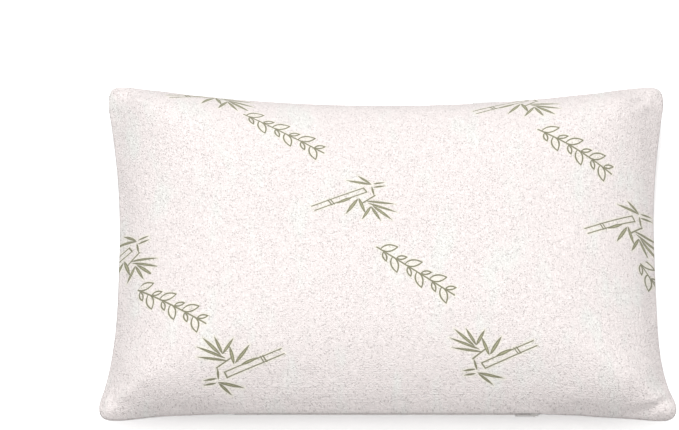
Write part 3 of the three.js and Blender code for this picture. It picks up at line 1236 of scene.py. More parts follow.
@dataclass(frozen=True)
class PillowForm:
    """The outline and crown that the cover, the inner bag and the fill share, in metres."""

    half_length: float
    half_width: float
    seam: float
    top: float
    zip_reach: float
    slot_low: float
    slot_high: float
    corner: float = 0.015
    least_corner: float = 0.006
    tuck: float = 0.0042
    hollow_near: float = 0.012
    hollow_rear: float = 0.026
    hollow_sides: float = 0.020
    hollow_power: float = 2
    straight: float = 0.030
    zip_margin: float = 0.015
    zip_fade: float = 0.03
    near_full: float = 0.16
    ear_reach: float = 0.022
    ear_powers: tuple[float, float] = (3.5, 5.5)
    near_powers: tuple[float, float] = (2.4, 1.3)
    dome_edge: float = 2.2
    dome_power: float = 0.6

    @staticmethod
    def from_frame(clearance: float = 0.0003) -> PillowForm:
        """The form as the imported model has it, with a clearance round the zip's tapes.

        Args:
            clearance: The clearance, in metres.

        Returns:
            The form.
        """
        front_low, front_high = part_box("cover_front_panel")
        _, back_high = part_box("cover_back_panel")
        tape_low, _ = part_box("zip_tape_lower")
        _, tape_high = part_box("zip_tape_upper")
        return PillowForm(
            half_length=front_high.x,
            half_width=front_high.y,
            seam=(front_low.z + back_high.z) / 2,
            top=front_high.z,
            zip_reach=tape_high.x + clearance,
            slot_low=tape_low.z - clearance,
            slot_high=tape_high.z + clearance,
        )

    def reach(self, side: Side) -> float:
        """How far a panel's middle stands off the seam."""
        return self.top - self.seam if side is Side.FRONT else self.seam

    @staticmethod
    def share(
        along: np.ndarray, straight: float, end: float, power: float | np.ndarray
    ) -> np.ndarray:
        """How much of an edge's hollow holds at a distance along it.

        Args:
            along: The distance from the edge's middle.
            straight: Where the hollow starts to fade.
            end: Where it is gone.
            power: How late it fades.

        Returns:
            The share, 1 in the middle and 0 at the end.
        """
        past = np.clip((np.abs(along) - straight) / (end - straight), 0, 1)
        return 1 - past**power

    def hollowed(self, x: np.ndarray, y: np.ndarray) -> tuple[np.ndarray, np.ndarray]:
        """Draws the edges in between the corners.

        Args:
            x: Places along the pillow.
            y: Places across it.

        Returns:
            The same places, drawn in.
        """
        end_x = self.half_length - self.straight
        end_y = self.half_width - self.straight
        power = np.where(x < 0, *self.ear_powers)
        ears = self.share(y, 0, self.half_width - self.ear_reach, power)
        rear_ears = self.share(y, 0, end_y, self.hollow_power)
        side = self.hollow_sides * np.where(y > 0, rear_ears, ears)
        power = np.where(x < 0, *self.near_powers)
        near = self.share(x, self.zip_reach + self.zip_margin, end_x, power)
        near = self.tuck + (self.hollow_near - self.tuck) * near
        rear = self.hollow_rear * self.share(x, 0, end_x, self.hollow_power)
        across = np.where(y > 0, rear, near)
        return x * (1 - side / self.half_length), y * (1 - across / self.half_width)

    def outline(self, u: np.ndarray, v: np.ndarray, inset: float = 0.0) -> np.ndarray:
        """The seam line's places for a square's edge, drawn in by an inset.

        Args:
            u: Places along the square.
            v: Places across it.
            inset: How far it is drawn in.

        Returns:
            The places, one row of X and Y each.
        """
        radius = max(self.corner - inset / 4, self.least_corner)
        x, y = rounded(u, v, self.half_length - inset, self.half_width - inset, radius)
        return np.stack(self.hollowed(x, y), -1)

    def dome(self, u: np.ndarray, v: np.ndarray) -> np.ndarray:
        """The crown's share of its height, 1 in the middle and 0 at the seam.

        Args:
            u: Places along the square.
            v: Places across it.

        Returns:
            The shares.
        """
        out = np.maximum(np.abs(u), np.abs(v))
        return np.maximum(1 - out**self.dome_edge, 0) ** self.dome_power

    def over_zip(self, x: np.ndarray) -> np.ndarray:
        """A share that is 1 along the zip and fades out past its ends."""
        return 1 - smooth_step(self.zip_reach, self.zip_reach + self.zip_fade, np.abs(x))

    def near_edge(self, y: np.ndarray, start: float = 0.10) -> np.ndarray:
        """A share that rises to 1 towards the near edge."""
        return smooth_step(start, self.near_full, -y)


def rounded(
    u: np.ndarray, v: np.ndarray, half_x: float, half_y: float, radius: float
) -> tuple[np.ndarray, np.ndarray]:
    """Maps a square from -1 to 1 onto a rectangle with round corners.

    Args:
        u: Places along the square.
        v: Places across it.
        half_x: Half the rectangle's length.
        half_y: Half its width.
        radius: The corners' radius.

    Returns:
        The places on the rectangle.
    """
    x, y = u * half_x, v * half_y
    past_x, past_y = np.abs(x) - (half_x - radius), np.abs(y) - (half_y - radius)
    corner = (past_x > 0) & (past_y > 0)
    reach = np.maximum(np.hypot(past_x, past_y), 1e-9)
    pull = np.where(corner, np.maximum(past_x, past_y) / reach, 1)
    x = np.where(corner, np.sign(x) * ((half_x - radius) + past_x * pull), x)
    y = np.where(corner, np.sign(y) * ((half_y - radius) + past_y * pull), y)
    return x, y


@dataclass
class PanelGrid:
    """A grid of cloth with its place in the square that every shape maps from."""

    columns: int
    rows: int
    u: np.ndarray = field(init=False)
    v: np.ndarray = field(init=False)

    def __post_init__(self) -> None:
        """Fills in the square's places."""
        u, v = np.meshgrid(
            np.linspace(-1, 1, self.columns + 1), np.linspace(-1, 1, self.rows + 1)
        )
        self.u, self.v = u.ravel(), v.ravel()

    def faces(self, side: Side) -> list[tuple[int, ...]]:
        """The grid's faces, upwards on the front and downwards on the back."""
        return grid_faces(self.rows, self.columns, side is Side.BACK)

    def out(self) -> np.ndarray:
        """How far out each vertex lies, 0 in the middle and 1 on the border."""
        return np.maximum(np.abs(self.u), np.abs(self.v))

    def border(self) -> list[int]:
        """The outer vertices, once round.

        Returns:
            Their numbers, each once.
        """
        wide, high = self.columns + 1, self.rows + 1
        loop = list(range(wide))
        loop += [j * wide + wide - 1 for j in range(1, high)]
        loop += [(high - 1) * wide + i for i in range(wide - 2, -1, -1)]
        loop += [j * wide for j in range(high - 2, 0, -1)]
        return loop

    def sample(self, shape: np.ndarray, target: PanelGrid) -> np.ndarray:
        """Reads a shape on this grid at another grid's places.

        Args:
            shape: The shape's places, one for each vertex of this grid.
            target: The grid that is wanted.

        Returns:
            The shape on the target grid.
        """
        table = shape.reshape(self.rows + 1, self.columns + 1, 3)
        x = (target.u + 1) / 2 * self.columns
        y = (target.v + 1) / 2 * self.rows
        i = np.clip(x.astype(int), 0, self.columns - 1)
        j = np.clip(y.astype(int), 0, self.rows - 1)
        s, t = (x - i)[:, None], (y - j)[:, None]
        low = table[j, i] * (1 - s) + table[j, i + 1] * s
        high = table[j + 1, i] * (1 - s) + table[j + 1, i + 1] * s
        return low * (1 - t) + high * t


# ---------------------------------------------------------------------------------------------
# The cover
# ---------------------------------------------------------------------------------------------


@dataclass(frozen=True)
class CornerFold:
    """A soft fold of cloth between two places, in millimetres: a ridge beside a furrow."""

    side: Side
    start: tuple[float, float]
    end: tuple[float, float]
    depth: float
    width: float
    bow: float = 0.10
    steepness: float = 2.3

    def depth_at(self, places: np.ndarray) -> np.ndarray:
        """The fold's height over the cloth at some places, in metres.

        Args:
            places: Rows of X and Y, in metres.

        Returns:
            The height of the ridge, below 0 in the furrow.
        """
        start, end = np.array(self.start) * MM, np.array(self.end) * MM
        axis = end - start
        length = np.linalg.norm(axis)
        axis = axis / length
        away = places - start
        along = away @ axis / length
        bend = self.bow * length * np.sin(np.clip(along, 0, 1) * math.pi)
        off = (away[:, 0] * axis[1] - away[:, 1] * axis[0] + bend) / (self.width * MM)
        taper = smooth_step(-0.15, 0.25, along) * (1 - smooth_step(0.45, 1.15, along))
        return self.depth * MM * self.steepness * off * np.exp(-(off**2)) * taper


CORNER_FOLDS = (
    CornerFold(Side.FRONT, (354, -190), (300, -212), 1.5, 5.0),
    CornerFold(Side.FRONT, (350, -208), (282, -218), -1.0, 5.0),
    CornerFold(Side.FRONT, (348, -172), (312, -178), 0.8, 6.0),
    CornerFold(Side.FRONT, (-350, -218), (-344, -172), 1.2, 5.0),
    CornerFold(Side.FRONT, (-352, -206), (-306, -208), -0.8, 6.0),
    CornerFold(Side.FRONT, (-338, 206), (-292, 176), 1.2, 7.0),
    CornerFold(Side.FRONT, (340, 208), (300, 172), -1.3, 7.0),
    CornerFold(Side.BACK, (350, -200), (292, -186), 1.8, 7.0),
    CornerFold(Side.BACK, (-350, -202), (-296, -180), -1.8, 7.0),
    CornerFold(Side.BACK, (-344, 200), (-290, 176), 1.6, 7.0),
    CornerFold(Side.BACK, (344, 202), (286, 184), -1.6, 7.0),
)


@dataclass(frozen=True)
class ClothFeel:
    """How the knit behaves as it is blown up, in the cloth simulation's own words."""

    quality: int = 8
    mass: float = 0.3
    air_damping: float = 2
    tension_stiffness: float = 15
    compression_stiffness: float = 5
    shear_stiffness: float = 3
    bending_stiffness: float = 0.5
    tension_damping: float = 10
    compression_damping: float = 10
    shear_damping: float = 10
    bending_damping: float = 1
    uniform_pressure_force: float = 6.0


@dataclass
class KnitCover:
    """The zipped outer cover: two panels, blown up by cloth simulation and hemmed."""

    form: PillowForm
    cut_length: float = 0.742
    cut_width: float = 0.484
    cut_corner: float = 0.045
    grid: PanelGrid = field(default_factory=lambda: PanelGrid(112, 74))
    feel: ClothFeel = ClothFeel()
    frames: int = 30
    floor_gap: float = 0.002
    thickness: float = 0.0015
    hem: float = 0.011
    hem_steps: tuple[float, ...] = (0.12, 0.5, 1.0)
    hem_drop: float = 0.2
    hem_print: float = 0.004
    seam_gap: float = 0.0008
    seam_ripple: float = 0.0011
    slot_fade: tuple[float, float] = (-0.001, 0.008)
    overhang: float = 0.0016
    retreat: float = 0.0030
    sewn_crown: float = 0.92
    back_flatness: float = 1.25
    border_start: float = 0.97
    edge_share: float = 0.25
    ear_band: tuple[float, float] = (0.22, 0.31)
    roll_core: float = 0.93
    fold_band: tuple[float, float] = (0.002, 0.012)
    lumps: float = 0.0008
    lump_scale: float = 24.0
    seam_roll: float = 0.0015
    corner_roll: float = 0.0042
    corner_lift: float = 0.0045
    fullness: dict[Side, float] = field(
        default_factory=lambda: {Side.FRONT: 1.6, Side.BACK: 1.45}
    )
    ear_fullness: float = 0.85
    ear_size: float = 0.085
    panels: dict[Side, bpy.types.Object] = field(default_factory=dict)
    shapes: dict[Side, np.ndarray] = field(default_factory=dict)

    def flat_cut(self) -> np.ndarray:
        """The panel as it is cut, flat, round its middle.

        Returns:
            Its places, one for each vertex of the grid.
        """
        grid = self.grid
        x, y = rounded(
            grid.u, grid.v, self.cut_length / 2, self.cut_width / 2, self.cut_corner
        )
        return np.stack([x, y, np.zeros_like(x)], -1)

    def seam_rise(self, x: np.ndarray, y: np.ndarray, side: Side) -> np.ndarray:
        """How far a panel's edge stands off the seam's height.

        Args:
            x: Places along the seam.
            y: Places across.
            side: The panel.

        Returns:
            Heights over the seam's own, opening for the zip and closed elsewhere.
        """
        form = self.form
        low, high = (form.zip_reach + step for step in self.slot_fade)
        opening = form.near_edge(y) * (1 - smooth_step(low, high, np.abs(x)))
        slot = form.slot_high if side is Side.FRONT else form.slot_low
        gap = self.seam_gap + (side.value * (slot - form.seam) - self.seam_gap) * opening
        ripple = self.seam_ripple * np.sin(x * 97 + 0.6) * np.sin(y * 71 + 1.1) * (1 - opening)
        return side.value * gap + ripple

    def sewn_shape(self, side: Side) -> np.ndarray:
        """The panel sewn to the outline and raised in a plain dome.

        Args:
            side: The panel.

        Returns:
            Its places, one for each vertex of the grid.
        """
        form, grid = self.form, self.grid
        shape = np.empty((len(grid.u), 3))
        shape[:, :2] = form.outline(grid.u, grid.v)
        dome = form.dome(grid.u, grid.v)
        if side is Side.BACK:
            dome = np.minimum(1, dome * self.back_flatness)
        edge = 1 - smooth_step(0.0, self.edge_share, dome)
        rise = self.seam_rise(shape[:, 0], shape[:, 1], side)
        crown = side.value * form.reach(side) * self.sewn_crown
        shape[:, 2] = form.seam + crown * dome + rise * edge
        near = form.near_edge(shape[:, 1])
        border = smooth_step(self.border_start, 1.0, grid.out())
        shift = -self.overhang if side is Side.FRONT else self.retreat
        shape[:, 1] += shift * near * form.over_zip(shape[:, 0]) * border
        return shape

    def swelling_panel(self, side: Side) -> bpy.types.Object:
        """A panel ready to be blown up: pinned round its seam, at rest as it was cut flat.

        Args:
            side: The panel.

        Returns:
            The panel, with its Cloth modifier.
        """
        grid = self.grid
        panel = mesh_piece(f"swelling_{side.name.lower()}", self.sewn_shape(side), grid.faces(side))
        panel.shape_key_add(name="Sewn")
        cut = panel.shape_key_add(name="Cut")
        cut.data.foreach_set("co", self.flat_cut().astype(np.float32).ravel())
        cut.value = 0
        panel.vertex_groups.new(name="sewn").add(grid.border(), 1.0, "REPLACE")
        cloth = panel.modifiers.new("Swell", "CLOTH")
        settings = cloth.settings
        for name, value in asdict(self.feel).items():
            setattr(settings, name, value)
        settings.use_pressure = True
        settings.vertex_group_mass = "sewn"
        settings.rest_shape_key = cut
        settings.effector_weights.gravity = 0
        cloth.collision_settings.use_collision = side is Side.BACK
        cloth.collision_settings.distance_min = self.floor_gap
        cloth.point_cache.frame_start = 1
        cloth.point_cache.frame_end = self.frames + 1
        return panel

    def blow_up(self) -> None:
        """Fills the panels: pressure swells them between the sewn edges and the floor."""
        clear_selection()
        bpy.ops.mesh.primitive_plane_add(size=2)
        table = bpy.context.object
        table.modifiers.new("Rest", "COLLISION")
        table.collision.thickness_outer = self.floor_gap / 2
        table.collision.cloth_friction = 5
        swelling = {side: self.swelling_panel(side) for side in Side}
        scene = bpy.context.scene
        for step in range(1, self.frames + 1):
            scene.frame_set(step)
        depsgraph = bpy.context.evaluated_depsgraph_get()
        for side, panel in swelling.items():
            self.shapes[side] = points_of(panel.evaluated_get(depsgraph).data)
            bpy.data.objects.remove(panel)
        scene.frame_set(1)
        bpy.data.objects.remove(table)
        self.fill_out()
        self.roll_seam()
        LOG.info("cloth settled: top %.1f mm", self.shapes[Side.FRONT][:, 2].max() / MM)

    def border_share(self, shares: Sequence[float], rows: Sequence[float]) -> np.ndarray:
        """A share for each vertex, given at so many rows in from the border.

        Args:
            shares: The shares.
            rows: How many rows in each one holds.

        Returns:
            The shares, one for each vertex of the grid.
        """
        steps = (1 - self.grid.out()) * self.grid.rows / 2
        return np.interp(steps, rows, shares)

    def fill_out(self) -> None:
        """Packs the fill out to the edges: steeper sides and a flatter middle, seam unmoved."""
        form = self.form
        loose = self.border_share((0, 0.7, 0.95, 1), (0, 1, 2, 3))
        for side, shape in self.shapes.items():
            reach = form.reach(side)
            inner = np.clip(side.value * (shape[:, 2] - form.seam) / reach, 0, 1)
            past_x = np.abs(shape[:, 0]) - form.half_length
            past_y = np.abs(shape[:, 1]) - form.half_width
            ear = 1 - smooth_step(self.ear_size * 0.3, self.ear_size, np.hypot(past_x, past_y))
            power = self.fullness[side] * (1 - ear) + self.ear_fullness * ear
            packed = 1 - (1 - inner) ** power
            shape[:, 2] += side.value * reach * (packed - inner) * loose
        back = self.shapes[Side.BACK]
        back[:, 2] = np.maximum(back[:, 2], 0.0)

    def roll_seam(self) -> None:
        """Rolls the back panel out under the seam, most at the near corners, which lift."""
        form, grid = self.form, self.grid
        back = self.shapes[Side.BACK]
        rows = (0, 1, 2, 3, 5)
        near = form.near_edge(back[:, 1], start=0.06)
        ears = smooth_step(*self.ear_band, np.abs(back[:, 0])) * near
        seam = 1 - near * form.over_zip(back[:, 0])
        reach = self.seam_roll * seam + self.corner_roll * ears
        away = back[:, :2] - form.outline(grid.u * self.roll_core, grid.v * self.roll_core)
        away /= np.maximum(np.linalg.norm(away, axis=1, keepdims=True), 1e-9)
        back[:, :2] += away * (reach * self.border_share((0, 1, 0.9, 0.5, 0), rows))[:, None]
        back[:, 2] += self.corner_lift * ears * self.border_share((0, 1, 0.7, 0.3, 0), rows)

    def hem_rings(self, side: Side) -> list[np.ndarray]:
        """The turned-in hem's rings, from the seam inwards.

        Args:
            side: The panel.

        Returns:
            Each ring's vertices, in the border's order.
        """
        grid, loop = self.grid, self.grid.border()
        height = self.shapes[side][loop][:, 2]
        rings = []
        for share in self.hem_steps:
            place = self.form.outline(grid.u[loop], grid.v[loop], self.hem * share)
            drop = side.value * self.thickness * self.hem_drop * share
            rings.append(np.column_stack([place, height - drop]))
        return rings

    def make_panel(self, side: Side) -> bpy.types.Object:
        """One finished panel: the swollen cloth, its hem, its thickness and one subdivision.

        Args:
            side: The panel.

        Returns:
            The piece, not yet dressed.
        """
        grid, loop = self.grid, self.grid.border()
        points = [self.shapes[side]]
        flats = [self.flat_cut()[:, :2]]
        faces = grid.faces(side)
        outer = loop
        count = len(grid.u)
        for k, ring in enumerate(self.hem_rings(side)):
            points.append(ring)
            flats.append(flats[0][loop] * (1 + (k + 1) * self.hem_print))
            inner = list(range(count, count + len(loop)))
            count += len(loop)
            for i in range(len(loop)):
                j = (i + 1) % len(loop)
                face = (outer[j], outer[i], inner[i], inner[j])
                faces.append(face[::-1] if side is Side.BACK else face)
            outer = inner
        panel = mesh_piece(f"cover_{side.name.lower()}", np.concatenate(points), faces)
        self.map_cut(panel, np.concatenate(flats))
        subdivide(panel, "PRESERVE_CORNERS")
        self.crease(panel, side)
        thicken(panel, self.thickness, -1)
        return panel

    def crease(self, panel: bpy.types.Object, side: Side) -> None:
        """Presses the corner folds and the fill's soft lumps into a panel.

        Args:
            panel: The smoothed cloth, one layer thick.
            side: The panel.
        """
        points = points_of(panel.data)
        normals = np.empty(len(points) * 3, np.float32)
        panel.data.vertices.foreach_get("normal", normals)
        off_seam = smooth_step(*self.fold_band, np.abs(points[:, 2] - self.form.seam))
        step = np.zeros(len(points))
        for fold in CORNER_FOLDS:
            if fold.side is side:
                step += fold.depth_at(points[:, :2]) * off_seam
        lumps = np.array([noise.noise(Vector(p) * self.lump_scale) for p in points])
        step += self.lumps * lumps * off_seam
        put_points(panel.data, points + normals.reshape(-1, 3) * step[:, None])

    def map_cut(self, panel: bpy.types.Object, flat: np.ndarray) -> None:
        """Maps the panel by its flat cut, so that the print and the knit follow the cloth.

        Args:
            panel: The panel.
            flat: Where each vertex lies on the flat cut.
        """
        layer = panel.data.uv_layers.new(name=CUT_MAP)
        corner = np.empty(len(panel.data.loops), np.int32)
        panel.data.loops.foreach_get("vertex_index", corner)
        uv = flat[corner] / np.array([self.cut_length, self.cut_width]) + 0.5
        layer.data.foreach_set("uv", uv.astype(np.float32).ravel())

    def build(self) -> None:
        self.blow_up()
        for side in Side:
            panel = self.make_panel(side)
            self.panels[side] = panel
            hand_over(panel, COVER_KNIT, f"cover_{side.name.lower()}_panel")


# ---------------------------------------------------------------------------------------------
# The inner bag and its fill
# ---------------------------------------------------------------------------------------------


@dataclass
class InnerBag:
    """The plain bag inside the cover."""

    form: PillowForm
    cover: KnitCover
    grid: PanelGrid
    shrink: float = 0.955
    seam_gap: float = 0.0006
    wrinkle: float = 0.0012
    wrinkle_scale: float = 26
    thickness: float = 0.0008
    cut_length: float = 0.712
    cut_width: float = 0.452

    def nested(self, side: Side, shrink: float, wrinkle: float) -> np.ndarray:
        """A panel's shape inside the cover's, drawn in and slightly wrinkled.

        Args:
            side: The panel.
            shrink: The share of the cover's size.
            wrinkle: How deep the wrinkles are.

        Returns:
            The panel's places on the bag's own grid.
        """
        shape = self.cover.grid.sample(self.cover.shapes[side], self.grid)
        seam = self.form.seam
        inside = 1 - smooth_step(0.86, 1.0, self.grid.out())
        shape[:, :2] *= shrink
        edge = side.value * self.seam_gap
        shape[:, 2] = seam + (shape[:, 2] - seam) * shrink * inside + edge * (1 - inside)
        scale = self.wrinkle_scale
        for i, point in enumerate(shape):
            folds = noise.noise(Vector((point[0] * scale, point[1] * scale, 3.0 + side.value)))
            shape[i, 2] -= side.value * wrinkle * (0.5 + folds) * inside[i]
        return shape

    def build(self) -> None:
        """Makes the two panels."""
        for side in Side:
            name = side.name.lower()
            shape = self.nested(side, self.shrink, self.wrinkle)
            panel = mesh_piece(f"inner_bag_{name}", shape, self.grid.faces(side))
            thicken(panel, self.thickness, -1)
            subdivide(panel)
            hand_over(panel, LINER_CLOTH, f"liner_{name}_panel")


@dataclass
class FoamFill:
    """The shredded foam that fills the bag, as one lumpy body of small chunks."""

    form: PillowForm
    cover: KnitCover
    grid: PanelGrid = field(default_factory=lambda: PanelGrid(150, 98))
    shrink: float = 0.925
    chunk: float = 0.016
    crack: float = 0.18
    crack_depth: float = 1.6
    lump: float = 0.0022

    def build(self) -> None:
        """Closes the two sides into one body and breaks its skin into chunks."""
        grid = self.grid
        inner = InnerBag(self.form, self.cover, grid)
        points = np.concatenate([inner.nested(side, self.shrink, 0.0) for side in Side])
        count = len(grid.u)
        merged = {v + count: v for v in grid.border()}
        faces = grid.faces(Side.FRONT)
        for face in grid.faces(Side.BACK):
            faces.append(tuple(merged.get(v + count, v + count) for v in face))
        middle = np.array([0, 0, self.form.seam])
        for i, point in enumerate(points):
            near = noise.voronoi(Vector(point / self.chunk))[0]
            between = near[1] - near[0]
            cracked = (between < self.crack) * (self.crack - between) / self.crack
            step = self.lump * (0.5 - self.crack_depth * cracked)
            away = point - middle
            points[i] = point + away / np.linalg.norm(away) * (step - self.lump)
        piece = mesh_piece("foam_chunks", points, faces)
        pick(piece)
        bpy.ops.object.mode_set(mode="EDIT")
        bpy.ops.mesh.select_all(action="SELECT")
        bpy.ops.mesh.delete_loose()
        bpy.ops.mesh.select_all(action="SELECT")
        bpy.ops.mesh.normals_make_consistent(inside=False)
        bpy.ops.object.mode_set(mode="OBJECT")
        hand_over(piece, FOAM, "foam_fill")


# ---------------------------------------------------------------------------------------------
# Seam threads
# ---------------------------------------------------------------------------------------------


@dataclass
class SeamThreads:
    """The overlock stitches round the cover's and the bag's allowances, and the closing row."""

    form: PillowForm
    cover_inset: float = 0.0125
    bag_inset: float = 0.026
    long_edge: float = 0.12
    opening: float = 0.075
    opening_gap: float = 0.001
    closing_reach: float = 0.0014
    closing_pitch: float = 0.006
    zip_clearance: float = 0.004
    thread: float = 0.00032
    loop_shape: tuple[float, float, float] = (1.0, 0.55, 1.0)
    lean: float = 0.5

    def path(self, inset: float, pitch: float) -> tuple[np.ndarray, np.ndarray]:
        """Even places along the outline, drawn in by an inset.

        Args:
            inset: How far inside the seam the row runs.
            pitch: The step between stitches.

        Returns:
            The places and the outline's directions there.
        """
        grid = PanelGrid(360, 240)
        loop = grid.border()
        line = self.form.outline(grid.u[loop], grid.v[loop], inset)
        closed = np.vstack([line, line[:1]])
        run = np.concatenate([[0], np.cumsum(np.linalg.norm(np.diff(closed, axis=0), axis=1))])
        count = int(run[-1] / pitch)
        at = (np.arange(count) + 0.5) * run[-1] / count
        place, ahead = (
            np.stack([np.interp(spot, run, closed[:, k]) for k in range(2)], -1)
            for spot in (at, (at + pitch) % run[-1])
        )
        way = ahead - place
        return place, way / np.linalg.norm(way, axis=1, keepdims=True)

    def stitch_row(
        self,
        name: str,
        node: str,
        inset: float,
        keep: Callable[[np.ndarray], np.ndarray],
        reach: float = 0.0017,
        pitch: float = 0.0042,
    ) -> None:
        """One row of overlock: slanting loops of thread wrapped round the allowances.

        Args:
            name: The piece's name.
            node: The CAD node that it stands for.
            inset: How far inside the seam it runs.
            keep: Which places have a stitch.
            reach: Half the loop's size.
            pitch: The step between stitches.
        """
        clear_selection()
        bpy.ops.mesh.primitive_torus_add(
            major_segments=10, minor_segments=4, major_radius=reach, minor_radius=self.thread
        )
        piece = shape_primitive(name, self.loop_shape)
        place, way = self.path(inset, pitch)
        kept = keep(place)
        up = np.array([0.0, 0.0, 1.0])
        places, axes = [], []
        for (x, y), (dx, dy) in zip(place[kept], way[kept]):
            side = np.array([-dy, dx, 0.0]) + np.array([dx, dy, 0.0]) * self.lean
            side /= np.linalg.norm(side)
            places.append(np.array([x, y, self.form.seam]))
            axes.append(np.stack([side, up, np.cross(side, up)]))
        copy_along(piece, places, axes)
        hand_over(piece, THREAD, node)

    def build(self) -> None:
        """Sews the three rows."""

        def off_zip(place: np.ndarray) -> np.ndarray:
            """Everywhere but along the zip."""
            end = self.form.zip_reach + self.zip_clearance
            return ~((place[:, 1] < -self.long_edge) & (np.abs(place[:, 0]) < end))

        def over_opening(place: np.ndarray, end: float) -> np.ndarray:
            """Along the bag's opening, up to an end."""
            return (place[:, 1] > self.long_edge) & (np.abs(place[:, 0]) < end)

        wide, narrow = self.opening + self.opening_gap, self.opening - self.opening_gap
        self.stitch_row("cover_overlock_thread", "cover_overlock", self.cover_inset, off_zip)
        self.stitch_row(
            "bag_overlock_thread",
            "liner_overlock",
            self.bag_inset,
            lambda place: ~over_opening(place, wide),
        )
        self.stitch_row(
            "bag_closing_thread",
            "liner_closing_stitch",
            self.bag_inset,
            lambda place: over_opening(place, narrow),
            reach=self.closing_reach,
            pitch=self.closing_pitch,
        )


# ---------------------------------------------------------------------------------------------
# The zip
# ---------------------------------------------------------------------------------------------


@dataclass
class ZipFastening:
    """The coil zip in the near seam: tapes, coils, stops, slider and pull."""

    form: PillowForm
    cover: KnitCover
    stitch_inset: float = 0.0028
    stitch_length: float = 0.0024
    stitch_pitch: float = 0.0034
    stitch_thread: float = 0.00028
    stitch_stand: float = 0.7
    stitch_margin: float = 0.006
    probe_start: float = -0.4
    tape_width: float = 0.0135
    tape_thickness: float = 0.0006
    tape_lip: float = 0.0009
    tape_bend: float = 0.0006
    tape_columns: int = 160
    coil_pitch: float = 0.0021
    coil_nose: float = 0.12
    coil_steps: int = 10
    wire: float = 0.00036
    wire_margin: float = 1.2
    hardware_edge: float = 0.00022

    @staticmethod
    def half(side: Side) -> str:
        """What the zip's half on a panel's side is called."""
        return "upper" if side is Side.FRONT else "lower"

    def tape(self, side: Side) -> None:
        """One tape: upright beside the coil, then turned in under the hem.

        Args:
            side: The panel that it is sewn to.
        """
        name = f"zip_tape_{self.half(side)}"
        low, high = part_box(name)
        face = (low.y + high.y) / 2
        edge, split = (high.z, low.z) if side is Side.FRONT else (low.z, high.z)
        upright = abs(edge - split) - self.tape_lip
        bend = self.tape_bend
        top = split + side.value * upright
        profile = [(face, split + side.value * upright * share) for share in (0.0, 0.4, 0.8, 1.0)]
        for turn in (30, 60, 90):
            angle = math.radians(turn)
            rise = side.value * bend * math.sin(angle)
            profile.append((face + bend * (1 - math.cos(angle)), top + rise))
        tuck = self.tape_width - upright - bend * math.pi / 2
        last = profile[-1]
        profile += [(last[0] + tuck * share, last[1]) for share in (0.33, 0.66, 1.0)]
        run = np.linspace(low.x, high.x, self.tape_columns + 1)
        points = np.array([(x, y, z) for x in run for y, z in profile])
        faces = grid_faces(self.tape_columns, len(profile) - 1, side is Side.FRONT, turned=True)
        piece = mesh_piece(f"{name}_cloth", points, faces)
        thicken(piece, self.tape_thickness, 0)
        hand_over(piece, ZIP_TAPE_CLOTH, name)

    def coil(self, side: Side) -> None:
        """One nylon coil: a wire wound along the tape's edge, pinched into teeth.

        Args:
            side: The panel on its side of the zip.
        """
        name = f"zip_coil_{self.half(side)}"
        low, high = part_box(name)
        turns = int((high.x - low.x) / self.coil_pitch)
        half_y = (high.y - low.y) / 2 - self.wire
        half_z = (high.z - low.z) / 2 - self.wire
        angle = np.linspace(0, 2 * math.pi * turns, turns * self.coil_steps + 1)
        if side is Side.BACK:
            angle = angle + math.pi
        margin = self.wire * self.wire_margin
        x = np.linspace(low.x + margin, high.x - margin, len(angle))
        nose = (1 + self.coil_nose * np.cos(angle)) / (1 + self.coil_nose)
        y = (low.y + high.y) / 2 + half_y * np.sin(angle)
        z = (low.z + high.z) / 2 - side.value * half_z * np.cos(angle) * nose
        piece = tube_piece(f"{name}_wire", np.stack([x, y, z], -1), self.wire, 5)
        hand_over(piece, NYLON, name)

    def topstitch(self, side: Side) -> None:
        """A row of stitches on the lip beside the zip, laid on the cover's own cloth.

        Args:
            side: The panel that is stitched.
        """
        form = self.form
        lip = form.slot_high if side is Side.FRONT else form.slot_low
        height = lip + side.value * self.stitch_inset
        clear_selection()
        bpy.ops.mesh.primitive_uv_sphere_add(segments=8, ring_count=5, radius=1.0)
        size = (self.stitch_length / 2, self.stitch_thread, self.stitch_thread)
        piece = shape_primitive(f"zip_topstitch_{side.name.lower()}", size)
        panel = self.cover.panels[side]
        end = form.zip_reach - self.stitch_margin
        places, axes = [], []
        for x in np.arange(-end, end, self.stitch_pitch):
            found, spot, normal, _face = panel.ray_cast((x, self.probe_start, height), (0, 1, 0))
            if not found:
                continue
            along = (Vector((1, 0, 0)) - normal * normal.x).normalized()
            places.append(np.array(spot + normal * self.stitch_thread * self.stitch_stand))
            axes.append(np.array([along, normal.cross(along), normal]))
        copy_along(piece, places, axes)
        hand_over(piece, THREAD)

    def dress_hardware(self, nodes: dict[str, bpy.types.Object]) -> None:
        """Rounds the edges of the cast and pressed parts and dresses them.

        Args:
            nodes: The CAD nodes, by name.
        """
        finishes = {
            "zip_slider": ENAMEL,
            "zip_pull": ENAMEL,
            "zip_end_stop": ALUMINIUM,
            "zip_top_stop_upper": ALUMINIUM,
            "zip_top_stop_lower": ALUMINIUM,
        }
        for name, finish in finishes.items():
            node = nodes[name]
            weld = node.modifiers.new("Weld", "WELD")
            weld.merge_threshold = 1e-5
            edge = node.modifiers.new("Edge", "BEVEL")
            edge.width = self.hardware_edge
            edge.segments = 2
            edge.limit_method = "ANGLE"
            edge.angle_limit = math.radians(35)
            edge.use_clamp_overlap = True
            finish.dress(node)
            LOG.info("%s dressed", name)

    def build(self, nodes: dict[str, bpy.types.Object]) -> None:
        """Makes the tapes, coils and lip stitches and dresses the hardware."""
        for side in Side:
            self.tape(side)
            self.coil(side)
            self.topstitch(side)
        self.dress_hardware(nodes)


